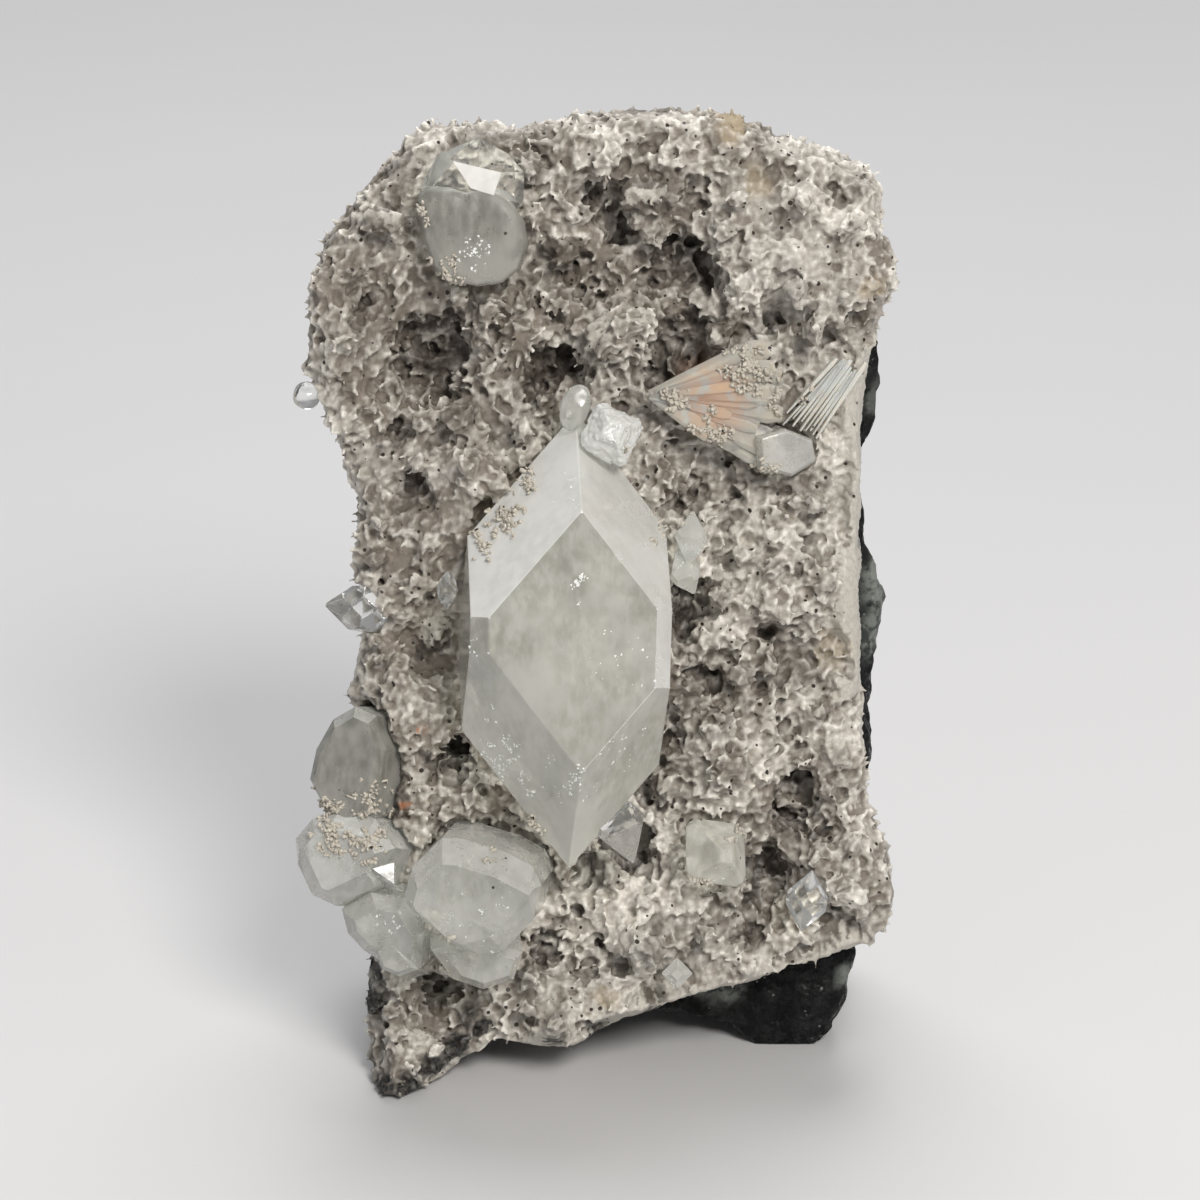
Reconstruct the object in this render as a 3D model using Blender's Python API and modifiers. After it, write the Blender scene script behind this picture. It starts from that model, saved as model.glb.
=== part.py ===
# Apophyllite crystals on the druse-lined wall of a basalt cavity.
#
# The specimen stands on the broken lower edge of the rock. Its front, the old cavity wall, leans
# back by ten degrees. A rough crust of small bladed crystals covers that front, and the larger
# crystals sit in sockets in the crust. +X is the viewer's right, -Y faces the viewer, +Z is up.
import math
import random

import bmesh
import bpy
from mathutils import Matrix, Vector, noise

# All sizes below are millimetres; MM turns them into Blender's metres.
MM = 0.001
FIT_GAP = 0.3
STOCK = 60.0
SHORT_EDGE = 0.05

# The plane of the crust's front, and the bed where the crust meets the rock
FRONT_LEAN = math.tan(math.radians(10.0))
LEAN_PIVOT_Z = 42.4
CRUST_STOCK = 13.0
CRUST_EDGE_ROUND = 2.2
BED_DEPTH = 7.2
BED_WAVE = 0.9
BED_WAVE_LENGTH = 16.0
BED_FOOT = (-17.0, 0.0, 8.0, -6.0)
BED_CELLS = (8, 11)
BED_HALF_WIDTH = 34.0
BED_HALF_HEIGHT = 52.0

# Outline of the crust in X and Z, clockwise from the tip of the left foot
CRUST_OUTLINE = [
    (-19.8, -1.4), (-20.5, 6.0), (-19.3, 12.2), (-20.6, 18.0), (-20.8, 26.0), (-21.4, 33.0),
    (-20.5, 38.0), (-20.8, 44.0), (-20.9, 51.0), (-22.8, 56.3), (-25.0, 60.5), (-24.2, 67.0),
    (-23.5, 71.0), (-19.6, 75.2), (-16.4, 79.2), (-14.0, 80.9), (-6.7, 80.3), (0.0, 81.7),
    (5.0, 82.3), (11.7, 81.1), (20.8, 78.0), (23.4, 76.6), (23.8, 71.5), (25.2, 69.0),
    (23.8, 65.5), (22.5, 61.0), (22.2, 48.0), (22.5, 34.0), (22.8, 22.8), (25.6, 18.5),
    (25.6, 14.5), (24.0, 11.8), (17.3, 9.8), (8.7, 7.3), (4.3, 6.0), (0.0, 4.2),
    (-3.9, 2.6), (-8.7, 3.6), (-13.6, 0.6), (-16.6, -1.6),
]

# Relief of the crust: X, Z, radius and height towards the viewer
CRUST_RELIEF = {
    "wide_hollow": (1.0, 68.0, 11.5, -2.6),
    "upper_left_hollow": (-14.3, 61.8, 3.4, -4.2),
    "left_hollow_tail": (-17.0, 59.0, 2.8, -2.0),
    "upper_right_hollow": (7.1, 62.4, 2.7, -4.2),
    "ring_hollow": (6.3, 69.9, 2.0, -2.4),
    "top_hollow": (1.0, 73.2, 2.4, -2.0),
    "middle_hollow": (-2.8, 61.6, 2.1, -2.6),
    "left_pit": (-16.2, 51.1, 2.1, -2.6),
    "left_low_pit": (-14.0, 38.6, 2.3, -3.6),
    "pit_by_main_base": (-12.2, 28.4, 2.0, -2.6),
    "gap_right_of_main": (7.7, 41.1, 1.7, -4.6),
    "right_low_pit": (17.4, 24.2, 1.6, -4.2),
    "low_right_pocket": (14.6, 16.3, 2.9, -3.8),
    "pit_under_main": (2.8, 20.0, 2.1, -3.6),
    "bottom_pit": (-4.1, 13.5, 2.1, -2.8),
    "foot_hollow": (-13.8, 8.6, 2.8, -2.2),
    "right_pit_upper": (8.6, 52.7, 2.3, -2.2),
    "right_pit_middle": (11.6, 45.8, 1.6, -1.8),
    "right_pit_lower": (10.2, 34.5, 2.0, -2.6),
    "right_edge_pit": (16.7, 31.7, 1.4, -2.4),
    "left_top_pit": (-18.9, 67.6, 2.0, -1.8),
    "pit_below_main_right": (4.6, 25.6, 1.5, -2.4),
    "left_shoulder": (-21.0, 65.0, 5.2, 2.4),
    "cone_over_crown": (1.8, 63.8, 2.0, 3.8),
    "left_pillow": (-9.6, 52.8, 6.2, 3.4),
    "crumbs_on_main": (-6.8, 50.2, 1.8, 2.6),
    "right_low_lump": (8.6, 30.2, 3.0, 3.0),
    "right_middle_lump": (16.0, 43.0, 4.4, 1.6),
    "knob": (23.2, 17.2, 3.0, 2.6),
    "bottom_lump": (4.3, 13.5, 3.6, 2.6),
    "lump_by_green_crystal": (10.6, 26.6, 2.2, 2.2),
    "lump_over_hollow": (-8.4, 69.6, 3.4, 1.6),
    "top_ridge": (0.0, 79.0, 4.4, 1.0),
    "upper_right_swell": (15.0, 71.5, 5.2, 1.8),
    "right_edge_swell": (20.2, 67.4, 3.4, 1.8),
    "left_middle_lump": (-15.3, 43.0, 3.0, 1.6),
    "left_low_lump": (-14.5, 33.0, 3.4, 2.0),
    "lower_rim_swell": (-3.5, 7.4, 4.4, 2.2),
    "left_foot_swell": (-17.2, 1.5, 3.6, 3.6),
    "cluster_seat": (-15.5, 22.6, 5.2, 2.0),
}
DEEPEST_PIT = -4.9
RELIEF_DEPTH = 6.0
CLUMP_HEIGHT = 1.1
CLUMP_SIZE = 3.4
CRUST_ROUGH = 0.45
CRUST_ROUGH_SIZE = 2.0
CRUST_VOXEL = 1.25
CRUST_FACES_KEPT = 0.17
CRUST_FOOT_Z = 0.4

# Druse blades fused to the crust, coarse enough to be seen from a step away
BLADE_COUNT = 140
BLADE_LENGTH = (2.4, 3.6)
BLADE_WIDTH = (2.0, 2.8)
BLADE_FLATNESS = 0.5
BLADE_TIP = 0.38
BLADE_SINK = 0.40
BLADE_SPREAD = 0.75
BLADE_MARGIN = 1.8
BLADE_CLEARANCE = 0.9
BLADE_SEED = 11

# Outline of the rock in X and Z, clockwise from the left foot; it reaches below the floor plane
ROCK_OUTLINE = [
    (-19.8, -1.2), (-20.9, 5.0), (-20.3, 12.0), (-19.4, 25.0), (-19.2, 45.0), (-20.0, 57.0),
    (-21.2, 65.0), (-18.4, 72.0), (-12.0, 77.4), (0.0, 79.6), (12.0, 79.4), (20.0, 76.4),
    (22.6, 70.0), (24.6, 64.1), (25.2, 61.0), (24.4, 55.3), (22.9, 51.0), (24.7, 43.0),
    (26.0, 39.2), (25.4, 35.5), (23.8, 31.0), (24.4, 26.0), (23.0, 20.0), (23.6, 13.0),
    (24.0, 8.0), (21.6, 1.5), (19.0, -1.2), (13.6, -1.2), (10.6, 1.6), (4.0, 2.6),
    (-4.0, 3.0), (-10.0, 3.0), (-13.2, 0.8), (-14.6, -1.2),
]
ROCK_FRONT_Y = -14.0
ROCK_REAR_Y = 27.0
# Broken faces of the rock: a point on each and the direction it faces
ROCK_BREAKS = [
    ((0.0, 23.6, 30.0), (0.0, 1.0, 0.07)),
    ((-17.5, 20.0, 40.0), (-0.62, 0.78, 0.06)),
    ((19.0, 21.0, 30.0), (0.66, 0.74, 0.08)),
    ((0.0, 13.0, 80.0), (0.05, 0.45, 0.89)),
    ((-6.0, 23.0, 62.0), (-0.28, 0.9, 0.36)),
    ((8.0, 24.0, 9.0), (0.15, 0.83, -0.53)),
    ((-14.0, 22.0, 14.0), (-0.45, 0.85, -0.25)),
]
ROCK_VOXEL = 1.7
ROCK_FACES_KEPT = 0.22
ROCK_CHIP = 2.4
ROCK_CHIP_SIZE = 9.0
ROCK_ROUGH = 0.7
ROCK_ROUGH_SIZE = 3.2
FLOOR_Z = 0.0

# The camera-side faces of most crystals look up by about this angle
FACE_UP = 19.0

# The main crystal: a square prism with a steep pyramid at each end, seen face on
MAIN_FACE_CENTRE = (-2.25, 42.6)
MAIN_RISE = 11.0
MAIN_HALF_WIDTH = 8.4
MAIN_HALF_DEPTH = 7.0
MAIN_BEVEL_REACH = 13.95
PYRAMID_SLOPE = 1.21
# Reach along the axis of the upper right, upper left, lower right and lower left pyramid faces
MAIN_PYRAMIDS = (19.9, 18.8, 20.4, 17.9)
MAIN_TURN = 7.0
MAIN_LEAN = 4.0

# Tablets of the lower left cluster. Each has its centre in X and Z, its rise, the directions it
# faces (up, turn), how far it reaches to the front and back, and its outline: right, up, bevel.
CLUSTER_TABLETS = {
    "big_tablet": (
        (-10.8, 20.1), 8.0, (14.0, -6.0), (1.9, 9.0),
        [(-2.6, 5.0, 46), (-1.0, 5.0, 46), (2.8, 4.0, 46), (5.1, 2.9, 20), (5.9, 1.3, 20),
         (5.3, -1.6, 40), (2.8, -4.4, 40), (0.9, -4.9, 20), (-2.0, -3.9, 20), (-5.1, -1.2, 20),
         (-5.7, 0.0, 30), (-5.1, 2.4, 40)],
    ),
    "grey_tablet": (
        (-21.5, 29.2), 1.0, (20.0, -24.0), (1.2, 4.6),
        [(0.0, 4.5, 30), (2.1, 4.0, 20), (3.4, 1.3, 20), (3.2, -4.2, 20), (0.4, -5.8, 30),
         (-2.2, -3.7, 30), (-3.3, -2.3, 40), (-3.1, 0.3, 40), (-1.9, 3.1, 40)],
    ),
    "crumb_capped_crystal": (
        (-22.0, 21.3), 3.4, (24.0, -18.0), (2.0, 6.0),
        [(-4.4, 1.4, 40), (-3.1, 3.3, 40), (-0.9, 4.5, 40), (2.5, 4.0, 30), (4.6, 1.7, 20),
         (3.4, -1.7, 30), (0.0, -3.8, 30), (-2.3, -3.1, 40), (-3.9, -0.7, 30)],
    ),
    "lower_tablet": (
        (-18.6, 15.3), 3.6, (10.0, -12.0), (1.6, 6.0),
        [(-3.6, 1.7, 40), (-1.1, 3.4, 30), (1.8, 3.1, 20), (3.7, 0.4, 20), (3.5, -2.9, 30),
         (1.0, -3.1, 40), (-1.5, -1.8, 40), (-3.0, -0.4, 40)],
    ),
    "block_below": (
        (-10.8, 13.0), 4.4, (2.0, 4.0), (1.2, 6.0),
        [(-3.6, 1.3, 20), (0.4, 2.2, 20), (4.2, 0.8, 30), (3.4, -1.7, 40), (0.8, -2.5, 40),
         (-1.7, -1.5, 40)],
    ),
    "white_chip": (
        (-17.4, 13.9), 5.4, (30.0, -10.0), (0.5, 4.0),
        [(-1.7, 0.3, 30), (-1.2, 1.1, 30), (0.0, 1.1, 30), (2.1, -0.9, 30), (0.4, -1.6, 30),
         (-1.0, -1.1, 30)],
    ),
    "small_wedge": (
        (-18.4, 21.2), 5.6, (30.0, 10.0), (0.5, 4.0),
        [(-1.3, 0.5, 20), (1.2, 1.0, 20), (1.0, -1.4, 20)],
    ),
}

# Crystals with a pyramid at each end: centre in X and Z, rise of the centre over the crust's
# plane, half width, half depth, reach of the tips, flat on the tips, directions (up, turn, lean, spin)
TIPPED_CRYSTALS = {
    "top_left_apophyllite": ((-10.9, 75.2), 1.3, 4.5, 4.0, 7.0, 6.8, (14.0, 0.0, -17.0, 24.0)),
    "crown_crystal": ((0.9, 57.3), 3.2, 2.75, 2.75, 3.9, 2.6, (-66.0, 4.0, 0.0, 20.0)),
    "lower_centre_crystal": ((1.5, 25.3), 5.0, 2.7, 2.5, 3.9, 3.7, (24.0, 20.0, -14.0, 30.0)),
    "pocket_crystal": ((17.8, 16.6), 0.3, 1.75, 1.6, 2.75, 2.7, (18.0, -20.0, 4.0, 10.0)),
    "green_lump_crystal": ((9.9, 21.3), 1.5, 3.0, 2.8, 4.3, 3.5, (10.0, 8.0, -38.0, 12.0)),
    "left_edge_crystal": ((-20.3, 40.9), -2.2, 1.9, 1.9, 3.4, 3.2, (8.0, 0.0, -84.0, 20.0)),
    "doubly_tipped_crystal": ((-12.9, 44.0), 2.2, 0.75, 0.75, 1.7, 1.6, (14.0, 0.0, 2.0, 20.0)),
    "low_rim_crystal": ((6.6, 11.4), 2.9, 1.3, 1.3, 1.7, 1.1, (-70.0, 0.0, 0.0, 0.0)),
}
SIDE_CRYSTALS = [
    ((7.6, 48.3), 2.1, 1.7, 1.5, 2.5, 2.3, (18.0, 20.0, 12.0, 30.0)),
    ((7.2, 45.4), 1.8, 1.4, 1.3, 2.3, 2.1, (10.0, 30.0, -20.0, 10.0)),
]
# Crystals that stop against a neighbour
GROWN_AGAINST = {
    "lower_centre_crystal": "main_apophyllite",
    "crown_crystal": "main_apophyllite",
}
BEAD_CENTRE = (-24.9, 58.9)
BEAD_RISE = -2.4
BEAD_RADIUS = 1.25
LEAF_CENTRE = (-2.1, 59.4)
LEAF_RISE = 2.6
LEAF_SIZE = (1.35, 0.55, 2.1)
LEAF_LEAN = 18.0
BALL_SEGMENTS = 12
BALL_RINGS = 7

# The stilbite spray: blades that fan out to the right from one point
SPRAY_ROOT = (5.0, 59.2)
SPRAY_RISE = 1.3
SPRAY_ANGLES = (-16.0, -8.0, 0.0, 8.0, 16.0, 23.0)
SPRAY_LENGTHS = (7.6, 8.8, 9.8, 10.2, 9.6, 8.2)
SPRAY_RADII = (0.6, 1.5)
SPRAY_STEP = 0.25
SPRAY_ROLL = 11.0

# Striated blades: bars side by side that run up to the right
STRIATED_CENTRE = (19.0, 60.2)
STRIATED_RISE = 0.9
STRIATED_ANGLE = 52.0
STRIATED_BARS = 5
STRIATED_PITCH = 0.78
STRIATED_LENGTHS = (6.0, 7.4, 8.0, 7.2, 5.8)
STRIATED_RADIUS = 0.66
GREY_CRYSTAL = (
    (15.6, 55.4), 1.4, (12.0, 10.0), (0.5, 4.4),
    [(-2.4, 1.3, 20), (0.0, 1.9, 20), (2.3, 0.9, 20), (2.6, -1.0, 30), (0.4, -2.2, 30),
     (-2.2, -1.3, 30)],
)


def clear_scene():
    for old in list(bpy.data.objects):
        bpy.data.objects.remove(old, do_unlink=True)


def new_collection(name):
    made = bpy.data.collections.new(name)
    bpy.context.scene.collection.children.link(made)
    return made


def mineral(name, colour, roughness, transmission=0.0, ior=1.5):
    """A Principled material with one colour and gloss."""
    material = bpy.data.materials.new(name)
    material.use_nodes = True
    shader = material.node_tree.nodes["Principled BSDF"]
    shader.inputs["Base Color"].default_value = (*colour, 1.0)
    shader.inputs["Roughness"].default_value = roughness
    shader.inputs["Metallic"].default_value = 0.0
    shader.inputs["Transmission Weight"].default_value = transmission
    shader.inputs["IOR"].default_value = ior
    return material


def object_from_bmesh(name, bm, home):
    """Write a bmesh made in millimetres to a new object in metres."""
    bmesh.ops.scale(bm, vec=(MM, MM, MM), verts=bm.verts)
    mesh = bpy.data.meshes.new(name)
    bm.to_mesh(mesh)
    bm.free()
    made = bpy.data.objects.new(name, mesh)
    home.objects.link(made)
    return made


def baked_mesh(source):
    """The object's mesh with its modifiers applied."""
    graph = bpy.context.evaluated_depsgraph_get()
    graph.update()
    return bpy.data.meshes.new_from_object(source.evaluated_get(graph), depsgraph=graph)


def bake(source):
    """Replace the object's mesh with its modified one and drop the modifiers."""
    mesh = baked_mesh(source)
    source.modifiers.clear()
    source.data = mesh


def as_cutter(obj):
    obj.hide_render = True
    obj.display_type = "WIRE"
    return obj


def boolean(target, tool, operation, own_overlaps=False):
    step = target.modifiers.new(operation.lower() + "_" + tool.name, "BOOLEAN")
    step.operation = operation
    step.solver = "EXACT"
    step.use_self = own_overlaps
    step.object = tool


def bisect_away(bm, point, direction):
    """Cut away what lies past a plane, and return the open rim that is left."""
    geometry = bm.verts[:] + bm.edges[:] + bm.faces[:]
    cut = bmesh.ops.bisect_plane(
        bm, geom=geometry, plane_co=point, plane_no=direction, clear_outer=True, dist=1e-5
    )
    return [item for item in cut["geom_cut"] if isinstance(item, bmesh.types.BMEdge)]


def cut_plane(bm, point, direction):
    """Cut away what lies past a plane and close the cut, also where it has several rims."""
    rim = bisect_away(bm, point, direction)
    if rim:
        bmesh.ops.triangle_fill(bm, edges=rim, use_beauty=True, use_dissolve=False)


# Surfaces of the front

def plane_y(z):
    """Y of the crust's front plane at height z."""
    return (z - LEAN_PIVOT_Z) * FRONT_LEAN


def bump(x, z, centre_x, centre_z, radius, height):
    distance = ((x - centre_x) ** 2 + (z - centre_z) ** 2) / (radius * radius)
    return height * math.exp(-distance)


def relief(x, z):
    """Height of the crust over its front plane, towards the viewer."""
    height = sum(bump(x, z, *feature) for feature in CRUST_RELIEF.values())
    clump = noise.voronoi(Vector((x, 0.0, z)) / CLUMP_SIZE)[0]
    height += CLUMP_HEIGHT * (0.7 - 1.6 * clump[0])
    return max(height, DEEPEST_PIT)


def bed_y(x, z):
    """Y of the surface where the crust meets the rock."""
    wave = BED_WAVE * noise.noise(Vector((x, 3.0, z)) / BED_WAVE_LENGTH)
    return plane_y(z) + BED_DEPTH + wave + bump(x, z, *BED_FOOT)


def bed_block(name, offset, reach, home):
    """A block with the bed's shape on one side, that reaches forwards or backwards from it."""
    bm = bmesh.new()
    bmesh.ops.create_grid(bm, x_segments=BED_CELLS[0], y_segments=BED_CELLS[1], size=1.0)
    for vertex in bm.verts:
        x = vertex.co.x * BED_HALF_WIDTH
        z = vertex.co.y * BED_HALF_HEIGHT + LEAN_PIVOT_Z
        vertex.co = Vector((x, bed_y(x, z) + offset, z))
    bmesh.ops.triangulate(bm, faces=bm.faces[:])
    sheet = bm.faces[:]
    grown = bmesh.ops.extrude_face_region(bm, geom=sheet, use_keep_orig=True)
    moved = [item for item in grown["geom"] if isinstance(item, bmesh.types.BMVert)]
    for vertex in moved:
        vertex.co.y = reach
    bmesh.ops.recalc_face_normals(bm, faces=bm.faces)
    return as_cutter(object_from_bmesh(name, bm, home))


# Crystals as stacks of flat faces

def crystal_frame(centre_xz, rise, up, turn, lean=0.0, spin=0.0):
    """Place a crystal: local -Y faces the viewer, turned up, sideways, leant and spun."""
    x, z = centre_xz
    place = Matrix.Translation((x, plane_y(z) - rise, z))
    aim = Matrix.Rotation(math.radians(turn), 4, "Z") @ Matrix.Rotation(math.radians(-up), 4, "X")
    roll = Matrix.Rotation(math.radians(lean), 4, "Y") @ Matrix.Rotation(math.radians(spin), 4, "Z")
    return place @ aim @ roll


def prism_faces(half_width, half_depth):
    faces = [(Vector((side, 0, 0)), half_width) for side in (-1, 1)]
    faces += [(Vector((0, side, 0)), half_depth) for side in (-1, 1)]
    return faces


def pyramid_face(right, front, top, reach):
    """A tip face over a prism corner; right, front and top are 1 or -1."""
    normal = Vector((right * PYRAMID_SLOPE, front * PYRAMID_SLOPE, top))
    return (normal.normalized(), reach / normal.length)


def main_faces():
    """The main crystal's faces: prism, narrow corner bevels and two uneven pyramids."""
    faces = prism_faces(MAIN_HALF_WIDTH, MAIN_HALF_DEPTH)
    reaches = {(1, 1): 0, (-1, 1): 1, (1, -1): 2, (-1, -1): 3}
    for right in (-1, 1):
        for front in (-1, 1):
            corner = Vector((right, front, 0))
            faces.append((corner.normalized(), MAIN_BEVEL_REACH / corner.length))
            for top in (-1, 1):
                reach = MAIN_PYRAMIDS[reaches[(right, top)]]
                faces.append(pyramid_face(right, front, top, reach))
    return faces


def tipped_faces(half_width, half_depth, reach, flat):
    """A square prism with a pyramid and a small flat at each end."""
    faces = prism_faces(half_width, half_depth)
    for top in (-1, 1):
        faces.append((Vector((0, 0, top)), flat))
        for right in (-1, 1):
            faces += [pyramid_face(right, front, top, reach) for front in (-1, 1)]
    return faces


def tablet_faces(reaches, outline):
    """A plate with an outline seen from the front; each side has a bevel towards the front."""
    front, back = reaches
    faces = [(Vector((0, -1, 0)), front), (Vector((0, 1, 0)), back)]
    turning = sum(
        a[0] * b[1] - b[0] * a[1] for a, b in zip(outline, outline[1:] + outline[:1])
    )
    for here, there in zip(outline, outline[1:] + outline[:1]):
        along = Vector((there[0] - here[0], 0, there[1] - here[1]))
        out = Vector((along.z, 0, -along.x)).normalized() * math.copysign(1.0, turning)
        distance = out.dot(Vector((here[0], 0, here[1])))
        slant = math.radians(here[2])
        faces.append((out, distance))
        faces.append((out * math.cos(slant) + Vector((0, -math.sin(slant), 0)),
                      distance * math.cos(slant)))
    return faces


def crystal(name, frame, faces, home, grow=0.0):
    """Cut a block down to the given faces, each moved out by grow."""
    bm = bmesh.new()
    bmesh.ops.create_cube(bm, size=STOCK)
    for normal, distance in faces:
        rim = bisect_away(bm, normal * (distance + grow), normal)
        bmesh.ops.holes_fill(bm, edges=rim, sides=0)
    bmesh.ops.dissolve_degenerate(bm, edges=bm.edges, dist=SHORT_EDGE)
    bmesh.ops.transform(bm, matrix=frame, verts=bm.verts)
    return object_from_bmesh(name, bm, home)


def is_near(point, frame, faces, margin):
    """True where a point lies in a crystal or within the margin of it."""
    local = frame.inverted() @ point
    return all(normal.dot(local) < distance + margin for normal, distance in faces)


def crystal_plans():
    """Name, frame and faces of every crystal made of flat faces, keyed by its node."""
    plans = {}
    centre = crystal_frame(MAIN_FACE_CENTRE, MAIN_RISE, FACE_UP, MAIN_TURN)
    inward = centre @ Matrix.Translation((0, MAIN_HALF_DEPTH, 0))
    lean = Matrix.Rotation(math.radians(MAIN_LEAN), 4, "Y")
    plans["main_apophyllite"] = [(inward @ lean, main_faces())]
    for name, (place, rise, wide, deep, reach, flat, aim) in TIPPED_CRYSTALS.items():
        faces = tipped_faces(wide, deep, reach, flat)
        plans[name] = [(crystal_frame(place, rise, *aim), faces)]
    plans["side_crystals"] = [
        (crystal_frame(place, rise, *aim), tipped_faces(wide, deep, reach, flat))
        for place, rise, wide, deep, reach, flat, aim in SIDE_CRYSTALS
    ]
    plans["lower_left_cluster"] = [
        (crystal_frame(place, rise, *aim), tablet_faces(reaches, outline))
        for place, rise, aim, reaches, outline in CLUSTER_TABLETS.values()
    ]
    place, rise, aim, reaches, outline = GREY_CRYSTAL
    plans["grey_crystal"] = [(crystal_frame(place, rise, *aim), tablet_faces(reaches, outline))]
    return plans


# Rounded and bladed minerals

def ball(name, centre_xz, rise, size, lean, home, grow=0.0):
    """A rounded grain: a sphere stretched to three half sizes."""
    bm = bmesh.new()
    bmesh.ops.create_uvsphere(bm, u_segments=BALL_SEGMENTS, v_segments=BALL_RINGS, radius=1.0)
    stretch = Matrix.Diagonal((size[0] + grow, size[1] + grow, size[2] + grow, 1.0))
    frame = crystal_frame(centre_xz, rise, FACE_UP, 0.0, lean)
    bmesh.ops.transform(bm, matrix=frame @ stretch, verts=bm.verts)
    return object_from_bmesh(name, bm, home)


def bar(name, frame, radii, length, home, grow=0.0):
    """A square bar from the frame's origin along its X, from the first radius to the second."""
    bm = bmesh.new()
    bmesh.ops.create_cone(
        bm, cap_ends=True, segments=4, radius1=radii[0] + grow, radius2=radii[1] + grow,
        depth=length + 2 * grow,
    )
    lay = Matrix.Translation((length / 2, 0, 0)) @ Matrix.Rotation(math.pi / 2, 4, "Y")
    bmesh.ops.transform(bm, matrix=frame @ lay, verts=bm.verts)
    return object_from_bmesh(name, bm, home)


def spray_bars(home, tag, grow=0.0):
    bars = []
    for index, (angle, length) in enumerate(zip(SPRAY_ANGLES, SPRAY_LENGTHS)):
        rise = SPRAY_RISE + SPRAY_STEP * (index % 2)
        frame = crystal_frame(SPRAY_ROOT, rise, 10.0, 0.0, -angle)
        frame = frame @ Matrix.Rotation(math.radians(SPRAY_ROLL * index), 4, "X")
        bars.append(bar(f"{tag}_{index}", frame, SPRAY_RADII, length, home, grow))
    return bars


def striated_bars(home, tag, grow=0.0):
    bars = []
    middle = (STRIATED_BARS - 1) / 2
    for index, length in enumerate(STRIATED_LENGTHS):
        frame = crystal_frame(STRIATED_CENTRE, STRIATED_RISE, 10.0, 0.0, -STRIATED_ANGLE)
        shift = Matrix.Translation((-length / 2, 0, (index - middle) * STRIATED_PITCH))
        radii = (STRIATED_RADIUS, STRIATED_RADIUS)
        bars.append(bar(f"{tag}_{index}", frame @ shift, radii, length, home, grow))
    return bars


def fuse(name, pieces, node_home, cutter_home):
    """Join overlapping pieces in one solid named for its node."""
    base = pieces[0]
    for other in pieces[1:]:
        boolean(base, as_cutter(other), "UNION")
    bake(base)
    base.name = name
    base.data.name = name
    for used in base.users_collection:
        used.objects.unlink(base)
    node_home.objects.link(base)
    for other in pieces[1:]:
        bpy.data.objects.remove(other, do_unlink=True)
    return base


# The crust and the rock

def outline_slab(name, outline, front_y, rear_y, edge_round, home):
    """A slab with the outline in X and Z, as a mesh with its caps welded."""
    curve = bpy.data.curves.new(name, "CURVE")
    curve.dimensions = "2D"
    curve.fill_mode = "BOTH"
    curve.extrude = (rear_y - front_y) / 2 - edge_round
    curve.bevel_depth = edge_round
    curve.offset = -edge_round
    curve.bevel_resolution = 1
    spline = curve.splines.new("POLY")
    spline.points.add(len(outline) - 1)
    for point, (x, z) in zip(spline.points, outline):
        point.co = (x, z, 0.0, 1.0)
    spline.use_cyclic_u = True
    flat = bpy.data.objects.new(name, curve)
    home.objects.link(flat)
    bm = bmesh.new()
    bm.from_mesh(baked_mesh(flat))
    bpy.data.objects.remove(flat, do_unlink=True)
    bmesh.ops.remove_doubles(bm, verts=bm.verts, dist=1e-4)
    stand = Matrix.Translation((0, (front_y + rear_y) / 2, 0)) @ Matrix.Rotation(math.pi / 2, 4, "X")
    bmesh.ops.transform(bm, matrix=stand, verts=bm.verts)
    return bm


def remesh(obj, voxel):
    step = obj.modifiers.new("even_grid", "REMESH")
    step.mode = "VOXEL"
    step.voxel_size = voxel * MM
    bake(obj)


def thin_out(obj, kept):
    step = obj.modifiers.new("fewer_faces", "DECIMATE")
    step.ratio = kept
    bake(obj)


def wander(point, size, amount):
    """A small push in a direction that varies smoothly over the surface."""
    place = point / size
    shifts = (Vector((0, 0, 0)), Vector((31.4, 0, 7.7)), Vector((5.1, 47.3, 0)))
    return Vector([noise.noise(place + shift) for shift in shifts]) * amount


def make_crust_body(home):
    """The crust's slab, warped to the front plane and its relief."""
    bm = outline_slab("druse_crust", CRUST_OUTLINE, 0.0, CRUST_STOCK, CRUST_EDGE_ROUND, home)
    crust = object_from_bmesh("druse_crust", bm, home)
    remesh(crust, CRUST_VOXEL)
    for vertex in crust.data.vertices:
        x, depth, z = vertex.co / MM
        share = max(0.0, 1.0 - max(depth, 0.0) / RELIEF_DEPTH)
        y = plane_y(z) + depth - relief(x, z) * share
        moved = Vector((x, y, z))
        moved += wander(moved, CRUST_ROUGH_SIZE, CRUST_ROUGH)
        vertex.co = moved * MM
    thin_out(crust, CRUST_FACES_KEPT)
    cut_flat(crust, CRUST_FOOT_Z)
    return crust


def inside_outline(x, z, outline):
    """Even-odd test of a point against an outline."""
    inside = False
    for (x1, z1), (x2, z2) in zip(outline, outline[1:] + outline[:1]):
        crosses = (z1 > z) != (z2 > z)
        if crosses and x < x1 + (z - z1) * (x2 - x1) / (z2 - z1):
            inside = not inside
    return inside


def well_inside(x, z):
    """True where a blade's foot is clear of the crust's edge."""
    steps = [(BLADE_MARGIN, 0), (-BLADE_MARGIN, 0), (0, BLADE_MARGIN), (0, -BLADE_MARGIN)]
    return all(inside_outline(x + dx, z + dz, CRUST_OUTLINE) for dx, dz in steps)


def front_normal(x, z):
    """Direction the crust's surface faces at a place on the front."""
    reach = 0.8
    slope_x = (relief(x + reach, z) - relief(x - reach, z)) / (2 * reach)
    slope_z = (relief(x, z + reach) - relief(x, z - reach)) / (2 * reach)
    return Vector((-slope_x, -1.0, FRONT_LEAN - slope_z)).normalized()


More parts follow.
